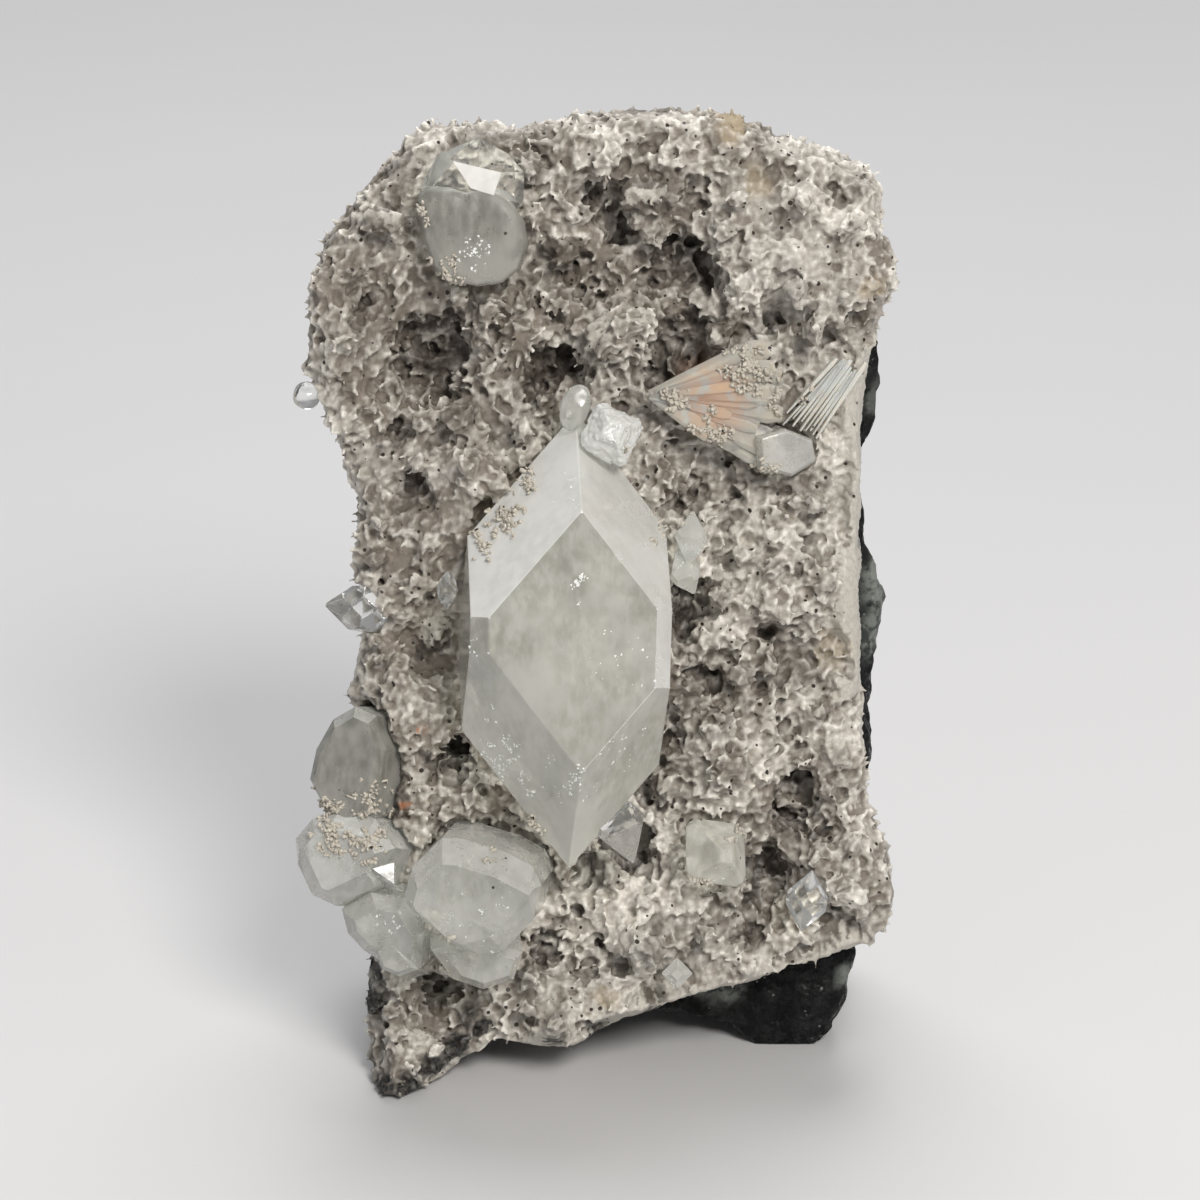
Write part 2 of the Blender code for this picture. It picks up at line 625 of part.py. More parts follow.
def make_blades(plans, home):
    """Bladed crystals scattered over the front, each sunk into the crust by its foot."""
    rng = random.Random(BLADE_SEED)
    solids = [plan for group in plans.values() for plan in group]
    bm = bmesh.new()
    placed = 0
    while placed < BLADE_COUNT:
        x = rng.uniform(-25.0, 25.5)
        z = rng.uniform(2.0, 84.0)
        length = rng.uniform(*BLADE_LENGTH)
        width = rng.uniform(*BLADE_WIDTH)
        stray = Vector([rng.uniform(-BLADE_SPREAD, BLADE_SPREAD) for _ in range(3)])
        twist = rng.uniform(0.0, math.pi)
        if not well_inside(x, z):
            continue
        foot = Vector((x, plane_y(z) - relief(x, z), z))
        direction = (front_normal(x, z) + stray).normalized()
        reach = [foot + direction * length * share for share in (0.0, 0.3, 0.6)]
        if any(is_near(p, *solid, BLADE_CLEARANCE) for p in reach for solid in solids):
            continue
        turn = direction.to_track_quat("Z", "X").to_matrix().to_4x4()
        flatten = Matrix.Diagonal((1.0, BLADE_FLATNESS, 1.0, 1.0))
        place = Matrix.Translation(foot + direction * length * (0.5 - BLADE_SINK))
        shape = place @ turn @ Matrix.Rotation(twist, 4, "Z") @ flatten
        bmesh.ops.create_cone(
            bm, cap_ends=True, segments=4, radius1=width / 2, radius2=width / 2 * BLADE_TIP,
            depth=length, matrix=shape,
        )
        placed += 1
    return as_cutter(object_from_bmesh("druse_blades", bm, home))


def keep_largest(obj):
    """Drop loose crumbs, so that one body is left."""
    bm = bmesh.new()
    bm.from_mesh(obj.data)
    todo = set(bm.verts)
    bodies = []
    while todo:
        stack = [todo.pop()]
        body = []
        while stack:
            vertex = stack.pop()
            body.append(vertex)
            linked = [edge.other_vert(vertex) for edge in vertex.link_edges]
            fresh = [other for other in linked if other in todo]
            todo.difference_update(fresh)
            stack.extend(fresh)
        bodies.append(body)
    bodies.sort(key=len)
    for body in bodies[:-1]:
        bmesh.ops.delete(bm, geom=body, context="VERTS")
    bm.to_mesh(obj.data)
    bm.free()


def cut_flat(obj, z):
    """Cut the underside flat at a height, facing down."""
    bm = bmesh.new()
    bm.from_mesh(obj.data)
    cut_plane(bm, Vector((0, 0, z * MM)), Vector((0, 0, -1)))
    bm.to_mesh(obj.data)
    bm.free()


def make_rock(home, cutters):
    """The basalt: an outline slab with broken faces, chipped, then fitted behind the bed."""
    bm = outline_slab("basalt_matrix", ROCK_OUTLINE, ROCK_FRONT_Y, ROCK_REAR_Y, 0.0, home)
    for point, direction in ROCK_BREAKS:
        cut_plane(bm, Vector(point), Vector(direction).normalized())
    rock = object_from_bmesh("basalt_matrix", bm, home)
    remesh(rock, ROCK_VOXEL)
    for vertex in rock.data.vertices:
        place = vertex.co / MM
        chips = noise.voronoi(place / ROCK_CHIP_SIZE)[0]
        inward = -vertex.normal * ROCK_CHIP * (chips[1] - chips[0])
        moved = place + inward + wander(place, ROCK_ROUGH_SIZE, ROCK_ROUGH)
        vertex.co = moved * MM
    thin_out(rock, ROCK_FACES_KEPT)
    boolean(rock, bed_block("space_before_bed", FIT_GAP, -STOCK, cutters), "DIFFERENCE")
    bake(rock)
    cut_flat(rock, FLOOR_Z)
    keep_largest(rock)
    return rock


def make_crust(plans, sockets, home, cutters):
    """The crust with its blades, cut back to the bed and out for the crystals."""
    crust = make_crust_body(home)
    boolean(crust, make_blades(plans, cutters), "UNION", own_overlaps=True)
    boolean(crust, bed_block("space_behind_bed", 0.0, STOCK, cutters), "DIFFERENCE")
    for socket in sockets:
        boolean(crust, socket, "DIFFERENCE")
    bake(crust)
    keep_largest(crust)
    return crust


def make_crystals(plans, home, cutters):
    """Every crystal made of flat faces, and its socket in the crust."""
    made = {}
    sockets = []
    for name, group in plans.items():
        pieces = [
            crystal(f"{name}_{index}", frame, faces, home)
            for index, (frame, faces) in enumerate(group)
        ]
        made[name] = fuse(name, pieces, home, cutters)
        for index, (frame, faces) in enumerate(group):
            socket = crystal(f"socket_{name}_{index}", frame, faces, cutters, FIT_GAP)
            sockets.append(as_cutter(socket))
    for name, keeper in GROWN_AGAINST.items():
        for frame, faces in plans[keeper]:
            tool = as_cutter(crystal("clear_of_" + keeper, frame, faces, cutters, FIT_GAP))
            boolean(made[name], tool, "DIFFERENCE")
        bake(made[name])
    return made, sockets


def make_rounds(home, cutters):
    """The bead and the leaf plate, with their sockets."""
    grains = {
        "edge_bead": (BEAD_CENTRE, BEAD_RISE, (BEAD_RADIUS,) * 3, 0.0),
        "leaf_plate": (LEAF_CENTRE, LEAF_RISE, LEAF_SIZE, LEAF_LEAN),
    }
    made = {}
    sockets = []
    for name, (place, rise, size, lean) in grains.items():
        made[name] = ball(name, place, rise, size, lean, home)
        sockets.append(as_cutter(ball("socket_" + name, place, rise, size, lean, cutters, FIT_GAP)))
    return made, sockets


def make_bladed(plans, home, cutters):
    """The stilbite spray and the striated blades, clear of each other and the grey crystal."""
    striated = fuse("striated_blades", striated_bars(home, "bar"), home, cutters)
    spray = fuse("stilbite_spray", spray_bars(home, "spray"), home, cutters)
    frame, faces = plans["grey_crystal"][0]
    clear_grey = as_cutter(crystal("clear_of_grey", frame, faces, cutters, FIT_GAP))
    clear_bars = [as_cutter(piece) for piece in striated_bars(cutters, "clear_bar", FIT_GAP)]
    boolean(striated, clear_grey, "DIFFERENCE")
    bake(striated)
    for tool in [clear_grey, *clear_bars]:
        boolean(spray, tool, "DIFFERENCE")
    bake(spray)
    keep_largest(striated)
    keep_largest(spray)
    sockets = clear_bars + [as_cutter(piece) for piece in spray_bars(cutters, "spray_socket", FIT_GAP)]
    return {"striated_blades": striated, "stilbite_spray": spray}, sockets


MINERALS = {
    "basalt_matrix": ("basalt", (0.035, 0.036, 0.037), 0.75, 0.0, 1.5),
    "druse_crust": ("druse", (0.60, 0.57, 0.52), 0.5, 0.0, 1.5),
    "stilbite_spray": ("peach_stilbite", (0.80, 0.58, 0.45), 0.35, 0.3, 1.5),
    "striated_blades": ("pearly_stilbite", (0.78, 0.76, 0.70), 0.25, 0.3, 1.5),
    "main_apophyllite": ("pale_green_apophyllite", (0.82, 0.88, 0.84), 0.08, 0.7, 1.535),
    "green_lump_crystal": ("etched_apophyllite", (0.78, 0.84, 0.78), 0.3, 0.6, 1.535),
    "top_left_apophyllite": ("frosted_apophyllite", (0.72, 0.78, 0.75), 0.2, 0.7, 1.535),
    "lower_left_cluster": ("milky_apophyllite", (0.85, 0.87, 0.86), 0.15, 0.6, 1.535),
}
CLEAR_MINERAL = ("clear_apophyllite", (0.95, 0.97, 0.96), 0.05, 0.9, 1.535)


def dress(nodes):
    """Give each node its mineral."""
    for name, node in nodes.items():
        label, *look = MINERALS.get(name, CLEAR_MINERAL)
        material = bpy.data.materials.get(label)
        if material is None:
            material = mineral(label, *look)
        node.data.materials.clear()
        node.data.materials.append(material)


def centre_on_footprint(nodes, everything):
    """Hang every object on an empty, moved so that the box's bottom centre is the origin."""
    corners = [vertex.co for node in nodes.values() for vertex in node.data.vertices]
    low = Vector([min(corner[axis] for corner in corners) for axis in range(3)])
    high = Vector([max(corner[axis] for corner in corners) for axis in range(3)])
    base = bpy.data.objects.new("specimen_origin", None)
    bpy.context.scene.collection.objects.link(base)
    base.location = (-(low.x + high.x) / 2, -(low.y + high.y) / 2, -low.z)
    for obj in everything:
        obj.parent = base
    return base


def build():
    clear_scene()
    home = new_collection("apophyllite_cluster")
    cutters = new_collection("cutters")
    plans = crystal_plans()
    nodes, sockets = make_crystals(plans, home, cutters)
    rounds, round_sockets = make_rounds(home, cutters)
    bladed, bladed_sockets = make_bladed(plans, home, cutters)
    nodes.update(rounds)
    nodes.update(bladed)
    sockets += round_sockets + bladed_sockets
    nodes["druse_crust"] = make_crust(plans, sockets, home, cutters)
    nodes["basalt_matrix"] = make_rock(home, cutters)
    dress(nodes)
    centre_on_footprint(nodes, list(home.objects) + list(cutters.objects))


build()
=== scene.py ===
# Looks of the apophyllite cluster: druse, crystals, basalt and the table that it stands on.
import math
import random

import bmesh
import bpy
import numpy as np
from mathutils import Matrix, Vector, noise
from mathutils.bvhtree import BVHTree


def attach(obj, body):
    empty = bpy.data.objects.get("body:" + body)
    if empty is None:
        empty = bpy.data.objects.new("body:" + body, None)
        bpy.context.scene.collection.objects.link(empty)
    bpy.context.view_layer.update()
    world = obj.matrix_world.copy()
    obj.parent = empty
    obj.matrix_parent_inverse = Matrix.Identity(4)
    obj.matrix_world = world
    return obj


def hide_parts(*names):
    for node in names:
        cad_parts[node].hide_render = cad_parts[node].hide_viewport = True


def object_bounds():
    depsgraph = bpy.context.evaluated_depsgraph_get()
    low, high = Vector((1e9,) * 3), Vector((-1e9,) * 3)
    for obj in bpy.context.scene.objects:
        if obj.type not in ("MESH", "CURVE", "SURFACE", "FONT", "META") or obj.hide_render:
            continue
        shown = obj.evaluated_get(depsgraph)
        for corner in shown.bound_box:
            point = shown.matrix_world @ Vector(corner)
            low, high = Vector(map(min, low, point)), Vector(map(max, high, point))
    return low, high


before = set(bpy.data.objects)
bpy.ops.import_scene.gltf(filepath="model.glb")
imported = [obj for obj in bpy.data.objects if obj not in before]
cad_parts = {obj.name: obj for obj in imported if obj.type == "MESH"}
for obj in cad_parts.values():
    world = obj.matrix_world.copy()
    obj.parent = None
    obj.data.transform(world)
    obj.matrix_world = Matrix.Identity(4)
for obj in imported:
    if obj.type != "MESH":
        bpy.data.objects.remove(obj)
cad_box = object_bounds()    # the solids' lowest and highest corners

# Sizes are in millimetres. Places are on the solids' drawing, whose origin is at ORIGIN.
MM = 0.001
ORIGIN = Vector((0.1814, -5.2733, 0.0))
FRONT_LEAN = math.tan(math.radians(10.0))
LEAN_PIVOT_Z = 42.4
RESHAPED = ("druse_crust", "basalt_matrix", "top_left_apophyllite", "stilbite_spray",
            "striated_blades")
CRYSTAL_NODES = [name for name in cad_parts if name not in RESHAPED]
CAD_LOW, CAD_HIGH = (np.array(corner) for corner in cad_box)

# Faces of the large crystal and the tablets that differ from the rest, by where they face and lie
MILKY_SIDE = Vector((-0.50, -0.50, 0.70)).normalized()
CLEAR_SIDE = Vector((-0.60, -0.80, -0.20)).normalized()
SAME_SIDE = 0.97
BRIGHT_SIDE_LEAST_X = 0.3
BRIGHT_SIDE_LEAST_Z = -0.2
TOP_FACING = 0.55
FROSTED_TABLET_X = -17.0
FROSTED_TABLET_Z = 25.4

# Camera: the photograph's angle in degrees, distance in metres, lens and sensor in millimetres
CAMERA_ELEVATION = 20.0
CAMERA_DISTANCE = 0.34
CAMERA_LENS = 120.0
CAMERA_SENSOR = 36.0

# Soft studio lights: place, size, power and tint, in metres and watts
LIGHTS = {
    "key_over_the_shoulder": ((0.24, -0.58, 0.56), 0.28, 5.0, (1.0, 0.97, 0.93)),
    "light_overhead": ((0.02, 0.42, 0.86), 0.70, 6.3, (1.0, 1.0, 1.0)),
    "fill_from_the_left": ((-0.60, -0.45, 0.30), 0.50, 0.3, (0.94, 0.97, 1.0)),
}
LIGHTS_AIM = Vector((0.0, 0.0, 0.04))
STUDIO_STRENGTH = 0.24
TABLE_SIZE = 3.0

# Where druse covers the crust: how far it reaches behind the front, there and at the top, and which
# way a face may look; a broken edge on the right and one below have none
OPEN_DEPTH = 5.6
OPEN_DEPTH_TOP = 11.6
OPEN_DEPTH_FADE = 1.6
OPEN_FACING = (-0.35, 0.15)
UPWARD_EASE = 0.1
TOP_FADE = (60.0, 72.0)
RIGHT_BREAK_X = 20.6
RIGHT_BREAK_Z = (33.0, 63.0)
RIGHT_BREAK_FACING = 0.45
LOWER_BREAK_Z = 12.0
LOWER_BREAK_FACING = -0.55

# Relief of the crust: sizes of its lumps, clumps, grains and crevices, and how far they rise
CRUST_GRID = 0.42
CRUST_SINK = 0.95
CRUST_DEEPEST = 5.0
LUMP_SIZE = 5.2
LUMP_RISE = 2.0
CLUMP_SIZE = 2.9
CLUMP_RISE = 2.4
CLUMP_REACH = 0.42
GRAIN_SIZE = 1.15
GRAIN_RISE = 0.4
GRAIN_REACH = 0.4
WARP_SIZE = 2.1
WARP_RISE = 0.7
BORDER_SIZE = 1.5
BORDER_RISE = 1.1
CREVICE_SIZE = 3.4
CREVICE_DEPTH = 2.6
CREVICE_HALF = 0.11
CREVICE_PLACE = Vector((7.1, 3.3, 1.9))
CREVICE_VIGOUR = 0.35
CREVICE_BASE = 0.55
CREVICE_ON_LUMPS = 1.5
VIGOUR_RANGE = (0.3, 1.8)
CALMEST = 0.35
WILDEST = 1.25
FORWARD_GAIN = 1.4
FORWARD_LEAST = 0.15
CLOSED_SHARE = 0.10

# Tones of the crust: painted shade in hollows and on low ground, painted light on tips and crests,
# each clump with its own
HOLE_FULLY_DARK = 2.4
LOWEST_PERCENT = 4
HIGHEST_PERCENT = 90
HOLLOW_SHADE_SHARE = 0.72
HOLLOW_SHADE_MOST = 0.95
MIDDLE_TONE = 0.52
CLUMP_TONE = 0.65
CLUMP_TONE_SPREAD = 3.7
STAIN_BORDER = 0.4
LIFT_FULL = 0.9
LIFT_LIGHT_SHARE = 0.55
LIFT_CLEARS_SHADE = 0.38
FLECK_SIZE = 0.7
FLECK_SHARE = 0.16
RIDGE_STEEPNESS = 1.6
RIDGE_LIGHT_SHARE = 1.25

# Blades of the druse, the skin that they grow into, and loose crumbs on the crystals
BLADES = 25000
BLADES_TRIED = 1.4
BLADES_ON_BREAKS = 0.01
BLADE_LENGTH = (0.5, 1.15)
BLADE_WIDTH = (0.36, 0.72)
BLADE_THICKNESS = (0.42, 0.62)
BLADE_THINNEST = 1.3
BLADE_STRAY = 0.42
BLADE_FAN = 0.85
BLADE_OUT = 0.3
BLADE_RINGS = ((-0.45, 0.85), (0.45, 1.0), (0.92, 0.90))
BLADE_SIDES = 5
BOX_CLEARANCE = 0.2
SKIN_GRID = 0.22
SKIN_WEAR = 1
SKIN_CUTS = (14.5, 28.0, 42.0, 56.5, 68.5)
LEAF_SIZE = 0.62
LEAF_RISE = 0.22
LEAF_REACH = 0.38
CRYSTAL_CLEARANCE = 0.34
TIP_CLEARANCE = 0.06
IN_FRONT = -40.0
CRUMB_LENGTH = (0.15, 0.60)
CRUMB_WIDTH = (0.18, 0.50)
CRUMB_FLATNESS = 0.6
CRUMB_STRAY = 0.8
CRUMB_ISLAND = 0.9
CRUMB_CROWDED = 0.5
CRUMB_TONE = (0.5, 1.0)
CRUMB_TAN = 0.15

# Hollows between the clumps, pushed back and darkened with painted shade: X, Z, radius and depth
HOLLOWS = {
    "left_upper_slit": (-19.0, 67.6, 0.9, 1.8),
    "left_edge_slit": (-20.1, 65.0, 0.7, 1.6),
    "left_cave": (-13.8, 62.8, 3.1, 3.2),
    "slit_below_disc": (-10.9, 66.5, 0.9, 2.0),
    "slit_right_of_disc": (-9.4, 65.5, 0.9, 2.0),
    "middle_cave": (-4.0, 61.5, 1.7, 3.2),
    "gap_over_middle": (-1.9, 69.9, 1.2, 2.4),
    "top_gap": (-0.7, 75.7, 1.0, 2.0),
    "ring_gap": (0.2, 74.5, 1.7, 2.4),
    "ring_low_gap": (1.3, 73.0, 1.3, 2.6),
    "upper_right_cave": (5.8, 69.2, 2.5, 3.4),
    "shaft_top": (6.3, 64.2, 1.6, 3.6),
    "shaft": (7.3, 61.9, 2.8, 4.0),
    "gap_left_of_shaft": (0.2, 68.4, 1.2, 2.4),
    "gap_over_cone": (-0.2, 65.8, 0.9, 2.0),
    "small_gap_right": (10.4, 69.6, 0.7, 1.6),
    "brown_gap": (12.1, 65.8, 1.0, 1.8),
    "brown_slit": (14.1, 65.7, 0.7, 1.4),
    "left_rim_gap": (-20.0, 57.9, 0.7, 1.6),
    "left_ring_gap": (-17.1, 56.6, 1.0, 2.0),
    "gap_under_cave": (-13.7, 55.9, 0.9, 1.6),
    "left_pit": (-15.8, 50.9, 1.7, 1.8),
    "left_pit_spur": (-14.2, 38.3, 1.0, 2.0),
    "gap_by_leaf": (-5.3, 58.8, 0.9, 2.0),
    "gap_under_stilbite": (8.0, 50.6, 1.2, 2.2),
    "slit_under_stilbite": (10.8, 51.5, 0.7, 1.8),
    "shade_under_stilbite": (11.0, 49.3, 1.2, 1.6),
    "right_small_pit": (17.7, 44.9, 0.7, 2.2),
    "black_gap_top": (7.1, 41.9, 1.6, 4.2),
    "black_gap_low": (6.9, 39.8, 1.7, 4.2),
    "gap_by_black": (8.8, 43.2, 0.9, 2.4),
    "right_slit": (13.6, 38.9, 0.9, 2.0),
    "right_trench": (9.9, 35.1, 1.4, 2.2),
    "right_trench_end": (14.3, 35.1, 1.4, 2.2),
    "trench_by_main": (7.6, 35.8, 0.8, 2.2),
    "right_high_pit": (16.2, 33.3, 0.6, 1.8),
    "groove": (16.1, 31.0, 0.9, 1.8),
    "left_of_main_tip": (-12.5, 28.1, 1.6, 2.6),
    "rust_bay": (-18.1, 27.1, 1.5, 1.2),
    "low_gap": (-4.9, 12.1, 1.6, 2.6),
    "low_gap_right": (-2.2, 14.9, 1.0, 2.4),
    "gap_by_tablet": (-3.4, 17.6, 0.9, 2.2),
    "foot_cave": (-14.5, 8.4, 1.8, 2.2),
    "foot_slit": (-10.6, 8.8, 0.8, 1.8),
    "under_clear_crystal": (2.6, 19.9, 1.6, 3.4),
    "under_main_tip": (0.7, 18.8, 0.9, 2.8),
    "right_black_top": (17.4, 25.3, 1.1, 3.4),
    "right_black": (16.5, 22.9, 1.3, 3.6),
    "right_black_end": (19.5, 22.1, 1.2, 2.8),
    "pocket_left": (13.9, 17.6, 1.6, 3.2),
    "pocket_low": (13.8, 15.4, 1.4, 3.0),
    "pocket_foot": (12.8, 13.0, 1.3, 2.6),
    "pocket_right": (19.6, 15.1, 1.0, 2.0),
    "gap_right_of_tip": (4.2, 25.3, 0.9, 2.0),
    "gap_by_lump": (6.4, 23.5, 0.8, 2.0),
    "shade_by_main": (5.6, 30.4, 0.9, 1.8),
    "rim_gap": (1.6, 10.9, 1.2, 2.0),
    "rim_slit": (-0.5, 12.8, 0.9, 2.0),
}

# Where the druse is coarser (over 1) or finer and smoother (under 1): X, Z, radius and size
BLADE_ZONES = {
    "upper_cave": (1.5, 68.0, 9.0, 1.55),
    "left_cave": (-13.0, 61.0, 5.0, 1.35),
    "left_pillow": (-10.5, 50.5, 6.5, 0.45),
    "left_side": (-18.5, 37.5, 4.0, 0.75),
    "left_pit": (-14.0, 39.4, 2.6, 1.7),
    "upper_right": (17.0, 70.5, 6.5, 0.55),
    "right_edge": (21.5, 51.0, 3.6, 0.35),
    "right_edge_top": (22.0, 59.0, 2.6, 0.40),
    "right_edge_middle": (22.0, 41.0, 3.0, 0.35),
    "right_edge_low": (22.0, 30.0, 3.0, 0.40),
    "lower_rim": (8.0, 8.0, 4.5, 0.5),
    "knob": (23.0, 15.5, 3.0, 0.45),
    "low_middle": (-2.0, 13.0, 5.0, 1.2),
    "right_low": (11.0, 28.0, 6.0, 1.1),
    "left_shoulder": (-21.0, 66.0, 4.0, 0.75),
}

# Paler and darker parts of the crust: X, Z, radius and how much. The two caves and the left pit's
# floor are darkened as painted shade.
TONE_ZONES = {
    "cone_over_crown": (1.8, 63.6, 2.6, 0.35),
    "below_cone": (2.6, 58.8, 2.4, 0.30),
    "upper_right": (16.0, 71.0, 7.5, 0.34),
    "right_side": (15.0, 46.0, 7.0, 0.22),
    "low_middle": (2.0, 13.0, 8.0, 0.34),
    "right_edge": (21.8, 52.0, 4.0, 0.34),
    "right_edge_top": (22.0, 60.0, 2.6, 0.25),
    "right_edge_middle": (22.2, 41.0, 3.0, 0.30),
    "right_edge_low": (22.4, 30.0, 3.0, 0.25),
    "knob": (24.0, 15.5, 3.0, 0.25),
    "lower_rim": (7.0, 8.5, 5.0, 0.12),
    # painted shade in the caves
    "upper_cave": (2.0, 68.0, 8.0, -0.30),
    "left_cave": (-14.0, 62.0, 4.5, -0.28),
    "left_side": (-18.0, 40.0, 6.0, -0.18),
    "left_shoulder": (-21.0, 66.0, 5.0, -0.20),
    "upper_left": (-15.0, 71.0, 6.0, -0.14),
    "left_pillow": (-10.5, 50.5, 5.0, -0.06),
    # painted shade on the pit floor
    "left_pit_floor": (-14.0, 39.4, 2.3, -0.25),
    "rust_bay": (-17.0, 27.0, 3.5, -0.12),
    "foot": (-14.0, 6.0, 5.0, -0.06),
}
# Stains on the crust: X, Z, radius and strength. Rock is the dark rock at its lower border.
STAINS = {"rust": {
    "rust_speck": (-18.2, 25.4, 0.42, 0.9),
    "small_rust_speck": (-15.0, 31.8, 0.30, 0.8),
    "rust_by_main_tip": (-6.6, 26.0, 0.30, 0.6),
}, "tan": {
    "tan_top": (11.4, 82.0, 1.6, 0.7),
    "tan_upper_right": (13.4, 77.5, 1.5, 0.5),
    "tan_right_edge": (23.2, 68.4, 1.0, 0.5),
    "tan_right_middle": (20.3, 38.0, 1.6, 0.35),
    "tan_lower_left": (-22.5, 22.6, 1.6, 0.45),
    "tan_low_gap": (0.8, 8.6, 1.2, 0.45),
    "tan_on_main": (-6.8, 50.1, 2.4, 0.35),
}, "peach": {
    "peach_root": (9.4, 59.8, 2.6, 0.30),
}, "rock": {
    "left_edge_high": (-19.9, 12.0, 1.0, 1.0),
    "left_edge_middle": (-20.0, 9.6, 1.1, 1.0),
    "left_edge_low": (-20.0, 7.0, 1.1, 1.0),
    "toe": (-18.6, 0.9, 1.3, 1.0),
    "toe_right": (-16.6, 1.2, 1.5, 1.0),
    "sole": (-14.4, 2.4, 1.5, 1.0),
    "sole_right": (-12.4, 3.4, 1.4, 1.0),
    "sole_end": (-10.4, 4.6, 1.1, 1.0),
    "notch": (-11.4, 6.3, 0.9, 0.8),
    "rim_left": (-4.0, 4.6, 0.7, 1.0),
    "rim_middle": (0.0, 5.2, 0.9, 1.0),
    "rim_right": (4.6, 6.0, 0.9, 1.0),
    "right_seam": (22.8, 46.0, 0.6, 0.8),
}}

# Crumbs of druse that sit on the crystals: X, Z, radius and count
CRUMB_PATCHES = {
    "main_left_rim_high": (-5.9, 53.6, 1.0, 70),
    "main_left_rim": (-8.0, 51.0, 1.9, 330),
    "main_left_rim_low": (-9.9, 48.9, 1.2, 150),
    "main_low_left": (-9.6, 28.6, 1.0, 50),
    "main_tip": (-5.4, 25.2, 1.6, 130),
    "main_right": (5.3, 49.5, 1.3, 80),
    "crown": (3.4, 56.4, 1.5, 90),
    "capped_tablet": (-23.0, 24.6, 2.4, 420),
    "capped_tablet_right": (-19.6, 23.8, 1.9, 260),
    "grey_tablet": (-19.4, 26.8, 1.9, 150),
    "big_tablet": (-13.6, 17.0, 1.4, 60),
    "big_tablet_top": (-9.2, 24.0, 1.2, 60),
    "disc_foot": (-12.8, 70.0, 2.0, 210),
    "disc_side": (-14.8, 75.4, 1.1, 90),
    "lump": (12.2, 23.6, 1.6, 130),
    "lump_low": (8.4, 18.6, 1.2, 90),
    "side_pair": (7.0, 50.4, 1.2, 80),
    "stilbite_top": (12.4, 62.2, 2.4, 420),
    "stilbite_end": (15.6, 60.4, 2.4, 420),
    "stilbite_low": (9.6, 57.0, 2.2, 260),
    "stilbite_root": (6.2, 59.4, 1.5, 200),
    "grey_crystal": (14.0, 54.0, 1.3, 60),
}

# Places of the crust that need more blades: X, Z, radius and count
BARE_PLACES = {
    "left_pit": (-13.4, 39.8, 3.2, 520),
    "beside_main_low": (-11.0, 36.0, 1.6, 140),
    "beside_main_left": (-11.4, 44.5, 1.6, 150),
    "beside_main_high": (-9.2, 52.8, 1.6, 120),
}
BARE_PULL = Vector((0, -0.5, 0))
BARE_STRAY = 1.4

# Painted glints: near-white flakes where healed cracks in the crystals' skin catch the light: X, Z,
# radius and count
GLINT_PATCHES = {
    "lower_left_face": (-8.2, 32.4, 2.2, 220),
    "lower_left_low": (-6.4, 29.4, 1.9, 160),
    "lower_middle": (-2.6, 31.4, 2.8, 170),
    "upper_middle": (-1.8, 47.2, 1.6, 90),
    "top": (-2.6, 53.4, 1.5, 60),
    "right_middle": (2.2, 41.0, 3.2, 60),
    "right_low": (1.6, 33.6, 2.8, 110),
    "left_low_edge": (-9.4, 36.0, 1.2, 60),
    "left_edge": (-9.9, 42.0, 1.0, 40),
    "big_tablet_foot": (-10.6, 16.4, 2.4, 110),
    "big_tablet_middle": (-10.0, 20.0, 2.4, 50),
    "lower_tablet": (-17.6, 16.6, 1.8, 70),
    "disc_low": (-10.4, 72.2, 1.6, 70),
    "crown": (1.0, 57.6, 1.4, 60),
    "lump": (10.2, 20.2, 1.3, 50),
    "side_pair": (7.2, 47.0, 1.3, 50),
}
GLINT_ISLAND = 1.1
GLINT_BARE = 0.10
GLINT_RISE = 0.02
GLINT_SIZE = (0.04, 0.21)
GLINT_TILT = 0.25
GLINT_CORNERS = (Vector((1, 0, 0)), Vector((-0.5, 0.6, 0)), Vector((-0.4, -0.7, 0)),
                 Vector((0, 0, 0.12)))
GLINT_FACES = ((0, 2, 1), (0, 1, 3), (1, 2, 3), (2, 0, 3))

# The crystal at the top left: a frosted disc with a clear cap behind it.
# Rings are share of the outline and rise; the outline is X, Z; corners are X, Z and rise.
DISC_CENTRE = (-10.7, 73.1, 0.0)
DISC_RINGS = ((0.80, 2.55), (0.95, 2.25), (1.0, 1.5), (1.0, -1.2))
DISC_OUTLINE = (
    (-4.5, 3.2), (-3.7, 3.9), (-1.5, 3.9), (-0.4, 3.5), (0.6, 3.9), (2.2, 3.6), (3.4, 2.6),
    (4.4, 0.9), (4.7, -1.0), (4.0, -2.9), (2.6, -4.0), (0.5, -4.3), (-1.6, -4.0), (-3.1, -2.7),
    (-4.0, -0.4),
)
DISC_WAVE = 0.16
DISC_WAVE_SIZE = 1.6
CAP_CORNERS = (
    (-13.5, 79.9, 1.5), (-12.2, 79.5, 2.1), (-8.2, 78.6, 2.2), (-8.8, 76.8, 2.5),
    (-10.7, 77.4, 2.6), (-15.0, 77.0, 0.6), (-10.0, 81.1, 0.6), (-7.7, 79.8, 0.8),
    (-6.3, 78.2, 0.4), (-6.4, 75.6, 0.4), (-14.4, 76.0, -1.4), (-10.0, 80.4, -1.4),
    (-6.6, 77.6, -1.4), (-7.2, 74.2, -1.4), (-13.6, 74.6, -1.4),
)
CAP_WHITE = Vector((-10.0, 3.9, 78.1))
CAP_WHITE_RADIUS = 1.6

